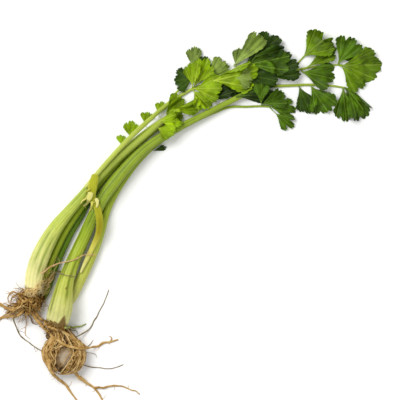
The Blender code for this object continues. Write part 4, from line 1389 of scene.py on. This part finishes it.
@dataclass
class Root:
    """One root with its rootlets.

    Args:
        name: of its node, or of the piece where it has none.
        radii: at the crown and at the tip, mm.
        start: height of its start, used where it has no node.
        route: along and across.
        finish: of its skin.
        rootlets: how many fine ones leave it.
        own_node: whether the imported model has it.
        step: spacing of its sections, mm.
        fall: length over which it comes down from its start, mm.
    """

    name: str
    radii: Point
    start: float
    route: tuple[Point, ...]
    finish: Finish = Finish.ROOT
    rootlets: int = 3
    own_node: bool = True
    step: float = 1.2
    fall: float = 24.0

    def build(self, bunch: "Bunch") -> None:
        """Draws the root along its route, knobbly and slightly crooked, with its rootlets."""
        rng = np.random.default_rng(sum(map(ord, self.name)) + 5)
        plan = smooth_route(bunch.bend.in_plan(self.route), self.step)
        count = len(plan)
        radius = np.linspace(*self.radii, count) * (1.0 + wander(rng, count, count // 4 + 2, 0.12))
        bunch.bed.settle()
        if self.own_node:
            low, high = Solid(self.name).line(plan)
            middle = (low + high) / 2
        else:
            fall = np.clip(1.0 - np.arange(count) * self.step / self.fall, 0.0, 1.0) ** 2
            middle = np.maximum(radius + self.start * fall, bunch.bed.tops(*plan.T) + radius)
        crook = wander(rng, count, count // 5 + 2, 0.3)
        side = frames(np.column_stack((plan, middle)))[0]
        line = np.column_stack((plan + side[:, :2] * crook[:, None], middle))
        form = Form(STRAND_MARKS)
        add_strand(form, line, radius, 12, float(rng.uniform(0.4, 0.7)))
        for _ in range(self.rootlets):
            k = int(rng.integers(2, count - 2))
            turn = math.atan2(*(line[k + 1] - line[k - 1])[[1, 0]])
            turn += rng.choice((-1, 1)) * rng.uniform(0.5, 1.4)
            reach = np.linspace(0.0, rng.uniform(3.0, 8.0), 8)
            bow = turn + reach * rng.normal(0.0, 0.09)
            x, y = line[k, 0] + reach * np.cos(bow), line[k, 1] + reach * np.sin(bow)
            z = np.maximum(np.maximum(line[k, 2] - reach * 0.7, 0.2), bunch.bed.tops(x, y) + 0.15)
            add_strand(form, np.column_stack((x, y, z)), np.linspace(0.28, 0.12, 8), 5, 0.6)
        nodes = [self.name] if self.own_node else []
        form.finish(self.name + "_skin", [bunch.skins[self.finish]], nodes, "root")


ROOTS: tuple[Root, ...] = (
    Root("left_root_long", (2.2, 1.5), 8.0, ((11, 28), (4, 33.0), (2, 42), (3, 51), (3, 62)), rootlets=9),
    Root("left_root_low", (1.9, 1.1), 5.0, ((6, 24), (0, 27), (-6, 36), (-11, 46), (-18, 55)), rootlets=9),
    Root("left_root_drooping", (0.8, 0.45), 3.0, (
        (3, 30), (-6, 31), (-14, 28), (-21, 23), (-26, 15), (-29, 6), (-32, -3), (-33, -10)), Finish.EARTH),
    Root("right_root_main", (2.2, 0.8), 6.0, (
        (-38, -20), (-45, -23), (-54, -32), (-62, -46), (-71, -58), (-75, -65)), rootlets=6),
    Root("right_root_back", (2.1, 0.8), 6.0, (
        (-36, -46), (-44, -52), (-50, -63), (-54, -75), (-60, -84), (-66, -90)), rootlets=6),
    Root("right_root_fork", (1.2, 0.5), 1.0, (
        (-53.5, -75), (-52, -80), (-48, -89), (-44, -98), (-43, -110), (-45, -125)), rootlets=2),
    Root("right_root_upright", (0.7, 0.4), 6.0, (
        (-7, -34), (-5, -39), (0, -45), (6, -50), (18, -53), (38, -56), (57, -57)), Finish.EARTH, 1),
    Root("left_root_across", (1.9, 0.9), 7.0, (
        (6, 16), (-1, 6), (-8, -6), (-13, -20), (-16, -36), (-15, -48), (-12, -58), (-9, -65), (-3, -70),
        (-1, -75), (5, -84)), rootlets=6),
    Root("front_root_pink", (0.8, 0.4), 8.0, (
        (50, 17), (58, 12), (62, 9), (68, 2), (73, -5), (79, -12), (85, -18), (92, -29.5)),
        Finish.PINK, 14),
    Root("left_root_second", (1.5, 1.0), 8.0, (
        (5, 10), (1, 2), (-2, -9), (-3, -22), (-6, -35), (-10, -44), (-13, -53)), own_node=False),
    Root("left_root_loop", (0.7, 0.45), 7.0, (
        (16, 28), (17, 31), (19, 35), (20, 39), (20, 43), (17, 45), (12, 46), (7, 43)),
         own_node=False, rootlets=1),
    Root("left_root_loop_inner", (0.7, 0.45), 7.0, (
        (15, 26), (18, 32), (19, 36), (17, 40), (13, 42), (7, 41)), own_node=False, rootlets=1),
    Root("left_root_curl", (0.9, 0.5), 5.0, ((3, 27), (1, 20), (-1, 15), (-6, 11), (-6, 6), (-3, 5)),
         Finish.EARTH, 2, False),
    Root("left_root_thin", (0.45, 0.25), 5.0, ((4, 21), (-1, 20), (-8, 18), (-16, 17), (-22, 14), (-23, 9)),
         Finish.PINK, 2, False),
    Root("right_root_fine", (0.6, 0.35), 2.0, (
        (-33, -50), (-33, -64), (-31, -74), (-27, -88), (-23, -94), (-20, -98)), Finish.EARTH, 1, False),
    Root("right_root_stub", (1.3, 0.7), 5.0, ((2, -26), (2, -31), (5, -36), (7, -41), (11, -45)),
         Finish.SPROUT, 0, False),
    Root("right_root_stub_low", (0.6, 0.3), 4.0, ((1, -29), (0, -32), (1, -37), (-3, -40)),
         Finish.EARTH, 0, False),
    Root("front_root_dark", (0.9, 0.35), 2.0, (
        (42, 7), (47, 5), (51, 5), (56, 4), (57, -2), (57, -7), (58, -13), (59, -18)),
         Finish.EARTH, 3, False),
    Root("left_root_hair", (0.3, 0.2), 2.0, ((-19, -53), (-19, -56), (-18, -62), (-19, -66), (-21, -68)),
         Finish.EARTH, 0, False),
    Root("left_root_fork", (0.7, 0.35), 0.0, ((1, -77), (5, -77), (6, -74)), rootlets=0, own_node=False),
    Root("left_root_branch", (0.5, 0.3), 0.0, ((-14, -54), (-8, -57), (-4, -58)), Finish.EARTH, 0, False),
)


@dataclass
class Lump:
    """A crown or the root ball: a body of soil and bark under a tangle of fine roots.

    Args:
        node: that it stands for.
        middle: along and across of its centre.
        size: length, width and height, mm.
        finish: of its body.
        rough: height of its knobs, as a share of its half size.
        own_node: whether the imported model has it.
        bare: along, across and radius of a patch of bare, paler soil.
        grid: rows from end to end and columns round it.
        knobs: how closely they lie.
    """

    node: str
    middle: Point
    size: tuple[float, float, float]
    finish: Finish
    rough: float = 0.12
    own_node: bool = True
    bare: tuple[float, float, float] | None = None
    grid: tuple[int, int] = (44, 64)
    knobs: float = 2.2

    def point(self, bunch: "Bunch", over: float, round_at: float, out: float) -> np.ndarray:
        """A point on or near the lump.

        Args:
            bunch: the bunch, for its bend.
            over: 0 at the end nearest the stalks to pi at the far end.
            round_at: angle round the bend, 0 at the left and half pi on top.
            out: distance outside the surface, mm.

        Returns:
            x, y and z.
        """
        half = [s / 2 for s in self.size]
        along = self.middle[0] + (half[0] + out) * math.cos(over)
        across = self.middle[1] + (half[1] + out) * math.sin(over) * math.cos(round_at)
        z = half[2] + (half[2] + out) * math.sin(over) * math.sin(round_at)
        return np.array((*bunch.bend.place(along, across), max(z, 0.3)))

    def build(self, bunch: "Bunch") -> None:
        """Makes the knobbly body."""
        rows, columns = self.grid
        grid = np.empty((rows + 1, columns + 1, 3))
        for i, over in enumerate(np.linspace(0.0, math.pi, rows + 1)):
            for j, turn in enumerate(np.linspace(0.0, math.tau, columns + 1)):
                ring = math.sin(over)
                seed = Vector((math.cos(over), ring * math.cos(turn), ring * math.sin(turn))) * self.knobs
                knob = noise.fractal(seed + Vector((0.0, 0.0, self.middle[0])), 0.7, 2.1, 4)
                grid[i, j] = self.point(bunch, over, turn, min(self.size) * self.rough * (knob - 0.75))
            grid[i, columns] = grid[i, 0]
        grid[0] = grid[0].mean(axis=0)
        grid[-1] = grid[-1].mean(axis=0)
        form = Form(STRAND_MARKS)
        tone = np.full(grid.shape[:2], 0.2)
        if self.bare is not None:
            tone += 0.9 * np.clip(1.5 - self.off_bare(bunch, grid), 0.0, 1.0)
        form.skin(grid, {"tint": tone})
        nodes = [self.node] if self.own_node else []
        form.finish(self.node + "_body", [bunch.skins[self.finish]], nodes, self.finish.value.slot)
        bunch.bed.lay(grid)

    def off_bare(self, bunch: "Bunch", points: np.ndarray) -> np.ndarray:
        """Distance of points from the middle of the bare patch, in its radii.

        Args:
            bunch: the bunch, for its bend.
            points: x, y and z in their last axis.

        Returns:
            The distances.
        """
        along, across, radius = self.bare
        x, y = bunch.bend.place(along, across)
        return np.hypot(points[..., 0] - x, points[..., 1] - y) / radius


class Tangle:
    """The fine roots that cover the crowns and the root ball."""

    left = Lump("left_crown", (16.0, 23.4), (31.0, 24.0, 20.0), Finish.CROWN, 0.16)
    heel = Lump("left_heel", (19.0, 11.5), (21.0, 12.0, 13.0), Finish.CROWN, 0.2, False)
    right = Lump("right_crown", (1.0, -15.0), (13.0, 27.0, 17.0), Finish.CROWN, 0.14)
    ball = Lump("right_root_ball", (-27.4, -33.0), (42.0, 46.0, 22.0), Finish.SOIL, 0.1,
                bare=(-29.0, -35.0, 9.0))
    neck = Lump("right_root_neck", (-10.0, -21.0), (24.0, 33.0, 17.0), Finish.SOIL, 0.14, False)

    def build(self, bunch: "Bunch") -> None:
        """Makes the bodies; the strands over them are made later."""
        for lump in (self.left, self.heel, self.right, self.ball, self.neck):
            lump.build(bunch)

    def strands(self, bunch: "Bunch") -> None:
        """Every group of strands; they come last, over all else that lies there."""
        bunch.bed.settle()
        self.ball_net(bunch)
        self.crown_mat(bunch)
        self.left_bundle(bunch)
        self.foot_fibres(bunch)

    def ball_net(self, bunch: "Bunch") -> None:
        """Roots that leave the right crown, run over the ball and draw together at its far end."""
        rng = np.random.default_rng(3)
        form = Form(STRAND_MARKS)
        count = 22
        for _ in range(150):
            turn = rng.uniform(-0.6, math.pi + 0.6)
            begin, end = rng.uniform(0.0, 0.5), rng.uniform(0.62, 1.0)
            over = np.linspace(0.15 + begin * 1.2, end * math.pi, count)
            sway = turn + wander(rng, count, 5, 0.17)
            lift = rng.uniform(0.0, 0.9) + np.abs(wander(rng, count, 6, 0.5))
            line = np.array([self.ball.point(bunch, o, t, h) for o, t, h in zip(over, sway, lift)])
            if begin < 0.22:
                neck = self.right.point(bunch, rng.uniform(1.5, 2.6), turn, 0.2)
                draw = np.clip(1.0 - np.arange(count) / 6.0, 0.0, 1.0)[:, None] ** 1.4
                line = line * (1.0 - draw) + neck * draw
            thick = rng.choice((0.32, 0.5, 0.75, 1.2), p=(0.36, 0.32, 0.22, 0.1))
            if (self.ball.off_bare(bunch, line) < 0.85).sum() > 2 and rng.uniform() < 0.85:
                continue
            add_strand(form, line, thick * np.linspace(1.0, 0.6, count), 7, float(rng.uniform(0.1, 1.0)))
        form.finish("right_root_ball_strands", [bunch.skins[Finish.ROOT]], [], "root")

    def crown_mat(self, bunch: "Bunch") -> None:
        """Roots and root stubs that spring from the left crown, and the bark of the right one."""
        rng = np.random.default_rng(8)
        form = Form(STRAND_MARKS)
        count = 14
        for lump, number, spread in ((self.left, 130, 1.0), (self.heel, 34, 0.6), (self.right, 46, 0.6)):
            for _ in range(number):
                over, turn = rng.uniform(0.5, 2.8), rng.uniform(-0.3, math.pi + 0.3)
                start = lump.point(bunch, over, turn, -0.6)
                base = bunch.bend.heading(0.0) + math.pi + rng.normal(0.0, 0.75)
                length = rng.uniform(5.0, 20.0) * spread
                t = np.linspace(0.0, 1.0, count)
                way = base - 0.5 * math.cos(turn) * spread + wander(rng, count, 4, 0.4)
                steps = np.column_stack((np.cos(way), np.sin(way))) * length / count
                plan = start[:2] + np.cumsum(steps, axis=0)
                rise = 2.2 * np.sin(math.pi * t) * rng.uniform(0.0, 1.0)
                z = start[2] + rise - t ** 1.4 * rng.uniform(2.0, start[2])
                thick = rng.choice((0.3, 0.45, 0.7, 1.0), p=(0.35, 0.35, 0.2, 0.1))
                z = np.maximum(z, np.maximum(bunch.bed.tops(*plan.T) - 0.5, 0.0) + thick)
                tone = float(rng.uniform(0.0, 0.9)) * (0.45 if over < 1.5 else 0.9)
                add_strand(form, np.column_stack((plan, z)), thick * np.linspace(1.0, 0.45, count), 7, tone)
        form.finish("crown_roots", [bunch.skins[Finish.ROOT]], [], "root")

    def left_bundle(self, bunch: "Bunch") -> None:
        """Middling roots that leave the left crown beside its two thickest ones."""
        rng = np.random.default_rng(21)
        form = Form(STRAND_MARKS)
        for _ in range(16):
            lean = rng.uniform(0.0, 1.0)
            begin = (rng.uniform(6.0, 16.0), rng.uniform(25.0, 32.0))
            end = (5.0 - 14.0 * lean + rng.normal(0.0, 1.5), rng.uniform(37.0, 47.0))
            middle = (0.5 * (begin[0] + end[0]) + rng.normal(0.0, 3.0), 0.5 * (begin[1] + end[1]))
            plan = smooth_route(bunch.bend.in_plan((begin, middle, end)), 1.2)
            t = np.linspace(0.0, 1.0, len(plan))
            radius = rng.uniform(0.4, 1.2) * (1.0 - 0.55 * t) * (1.0 + wander(rng, len(t), 6, 0.12))
            z = bunch.bed.tops(*plan.T) * (1.0 - t) + rng.uniform(1.0, 5.0) * t + radius
            line = np.column_stack((plan, even_out(z, 3)))
            add_strand(form, line, radius, 9, float(rng.uniform(0.1, 0.8)))
        form.finish("left_root_bundle", [bunch.skins[Finish.ROOT]], [], "root")

    def foot_fibres(self, bunch: "Bunch") -> None:
        """Torn fibres and dried sheath that lie aslant up the foot of the left plant."""
        rng = np.random.default_rng(12)
        form = Form(STRAND_MARKS)
        count = 14
        for _ in range(110):
            across = 8.0 + 23.0 * rng.uniform(0.0, 1.0) ** 1.5
            along = 21.0 + rng.uniform(0.0, 5.0) + max(0.0, 24.0 - across) * rng.uniform(0.0, 1.9)
            length = rng.uniform(4.0, 13.0) if across < 20.0 else rng.uniform(3.0, 7.0)
            drift = wander(rng, count, 4, 1.1) - np.linspace(0.0, 1.0, count) * rng.uniform(0.0, 7.0)
            stations = np.linspace(along, along + length, count)
            plan = np.array(bunch.bend.in_plan(list(zip(stations, across + drift))))
            thick = rng.choice((0.2, 0.35, 0.6), p=(0.45, 0.35, 0.2))
            rise = rng.uniform(0.0, 2.6) * np.sin(np.linspace(0.1, 2.6, count))
            z = bunch.bed.tops(*plan.T) + thick * 0.5 + np.abs(wander(rng, count, 4, 0.5)) + rise
            line = np.column_stack((plan, even_out(z, 2) + 0.15))
            add_strand(form, line, thick * np.linspace(1.0, 0.35, count), 6, float(rng.uniform(0.3, 1.6)))
        form.finish("left_foot_fibres", [bunch.skins[Finish.FIBRE]], [], "root")


class Bunch:
    """The whole bunch: its bend, its bed, its finishes and its pieces."""

    def __init__(self) -> None:
        self.bend = Bend()
        self.bed = Bed()
        self.spines: dict[str, np.ndarray] = {}
        effects = Effects()
        self.skins: dict[Finish, bpy.types.Material] = {}
        self.blades: dict[Finish, tuple[bpy.types.Material, bpy.types.Material]] = {}
        for finish in Finish:
            store = self.blades if isinstance(finish.value, LeafFinish) else self.skins
            store[finish] = finish.value.build(effects)
        self.seat()

    def seat(self) -> None:
        """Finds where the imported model's origin lies in the bunch's plan, from the boxes of its stalks."""
        shifts = []
        for stalk in STALKS:
            line = smooth_route(self.bend.in_plan(stalk.route), 2.0)
            side = frames(np.column_stack((line[:, :2], np.zeros(len(line)))))[0][:, :2] * line[:, 2:3] / 2
            edges = np.concatenate((line[:, :2] - side, line[:, :2] + side))
            low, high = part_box(stalk.name)
            seen = np.array((low.x + high.x, low.y + high.y)) / MM / 2
            shifts.append((edges.min(axis=0) + edges.max(axis=0)) / 2 - seen)
        self.bend.origin = np.median(shifts, axis=0)
        LOG.info("origin in the bunch's plan: %s, spread %s", self.bend.origin, np.ptp(shifts, axis=0))

    def build(self) -> None:
        """Lays the whole bunch, lowest pieces first."""
        tangle = Tangle()
        tangle.build(self)
        low_names = ("leaf_under", "leaf_edge", "leaf_right")
        leaves = leaflets()
        under = [leaf for leaf in leaves if leaf.name.startswith(low_names)]
        others = [leaf for leaf in leaves if not leaf.name.startswith(low_names)]
        order = (STALKS[0], under[0], *STALKS[1:5], *under[1:], STALKS[5], TIE, *STEMS, *others, *ROOTS)
        for piece in order:
            piece.build(self)
        tangle.strands(self)


# ------------------------------------------------------------------------------------------- studio
@dataclass
class Studio:
    """Plain floor, soft light and the camera that looks straight down.

    Args:
        view_middle: plan point under the camera, mm.
        view_width: width in view, mm, at view_height above the floor.
        view_height: middle height of the bunch, mm.
        distance: height of the camera, m.
        film: width of its film, mm.
        key_watts, fill_watts: power of the two lamps.
        sky: strength of the even light.
    """

    view_middle: Point = (16.3, 18.2)
    view_width: float = 440.0
    view_height: float = 8.0
    distance: float = 1.7
    film: float = 36.0
    key_watts: float = 25.0
    fill_watts: float = 3.0
    sky: float = 0.64

    def build(self) -> None:
        """Sets up the stage."""
        self.floor()
        self.world()
        self.lamp("key_light", (-0.8, 0.75, 1.4), 1.0, self.key_watts)
        self.lamp("fill_light", (0.9, -0.5, 1.6), 1.6, self.fill_watts)
        self.camera()

    def floor(self) -> None:
        """A plain, nearly white floor."""
        form = bmesh.new()
        bmesh.ops.create_grid(form, x_segments=1, y_segments=1, size=3.0)
        data = bpy.data.meshes.new("floor")
        form.to_mesh(data)
        form.free()
        material, _, surface = shader("floor_white")
        surface.inputs["Base Color"].default_value = (0.93, 0.93, 0.92, 1.0)
        surface.inputs["Roughness"].default_value = 0.9
        surface.inputs["Specular IOR Level"].default_value = 0.1
        data.materials.append(material)
        floor = in_scene("floor", data)

    def world(self) -> None:
        """Even light from all round."""
        world = bpy.data.worlds.new("studio")
        world.use_nodes = True
        back = world.node_tree.nodes["Background"]
        back.inputs["Color"].default_value = (1.0, 1.0, 1.0, 1.0)
        back.inputs["Strength"].default_value = self.sky
        bpy.context.scene.world = world

    def lamp(self, name: str, place: tuple[float, float, float], size: float, power: float) -> None:
        """A large square lamp that faces the bunch.

        Args:
            name: of the lamp.
            place: in metres.
            size: of its side.
            power: in watts.
        """
        data = bpy.data.lights.new(name, "AREA")
        data.size = size
        data.energy = power
        lamp = in_scene(name, data)
        lamp.location = place
        lamp.rotation_mode = "QUATERNION"
        lamp.rotation_quaternion = (-Vector(place)).to_track_quat("-Z", "Y")

    def camera(self) -> None:
        """The camera, straight above, with the growth running up to the right."""
        data = bpy.data.cameras.new("camera")
        data.sensor_width = self.film
        data.lens = self.film * (self.distance - self.view_height * MM) / (self.view_width * MM)
        camera = in_scene("camera", data)
        camera.location = (self.view_middle[0] * MM, self.view_middle[1] * MM, self.distance)
        bpy.context.scene.camera = camera


def main() -> None:
    """Builds the bunch and its stage."""
    logging.basicConfig(level=logging.INFO, format="%(name)s: %(message)s")
    bpy.context.scene.view_settings.view_transform = "Standard"
    Bunch().build()
    Studio().build()
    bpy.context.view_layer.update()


if __name__ == "__main__":
    main()
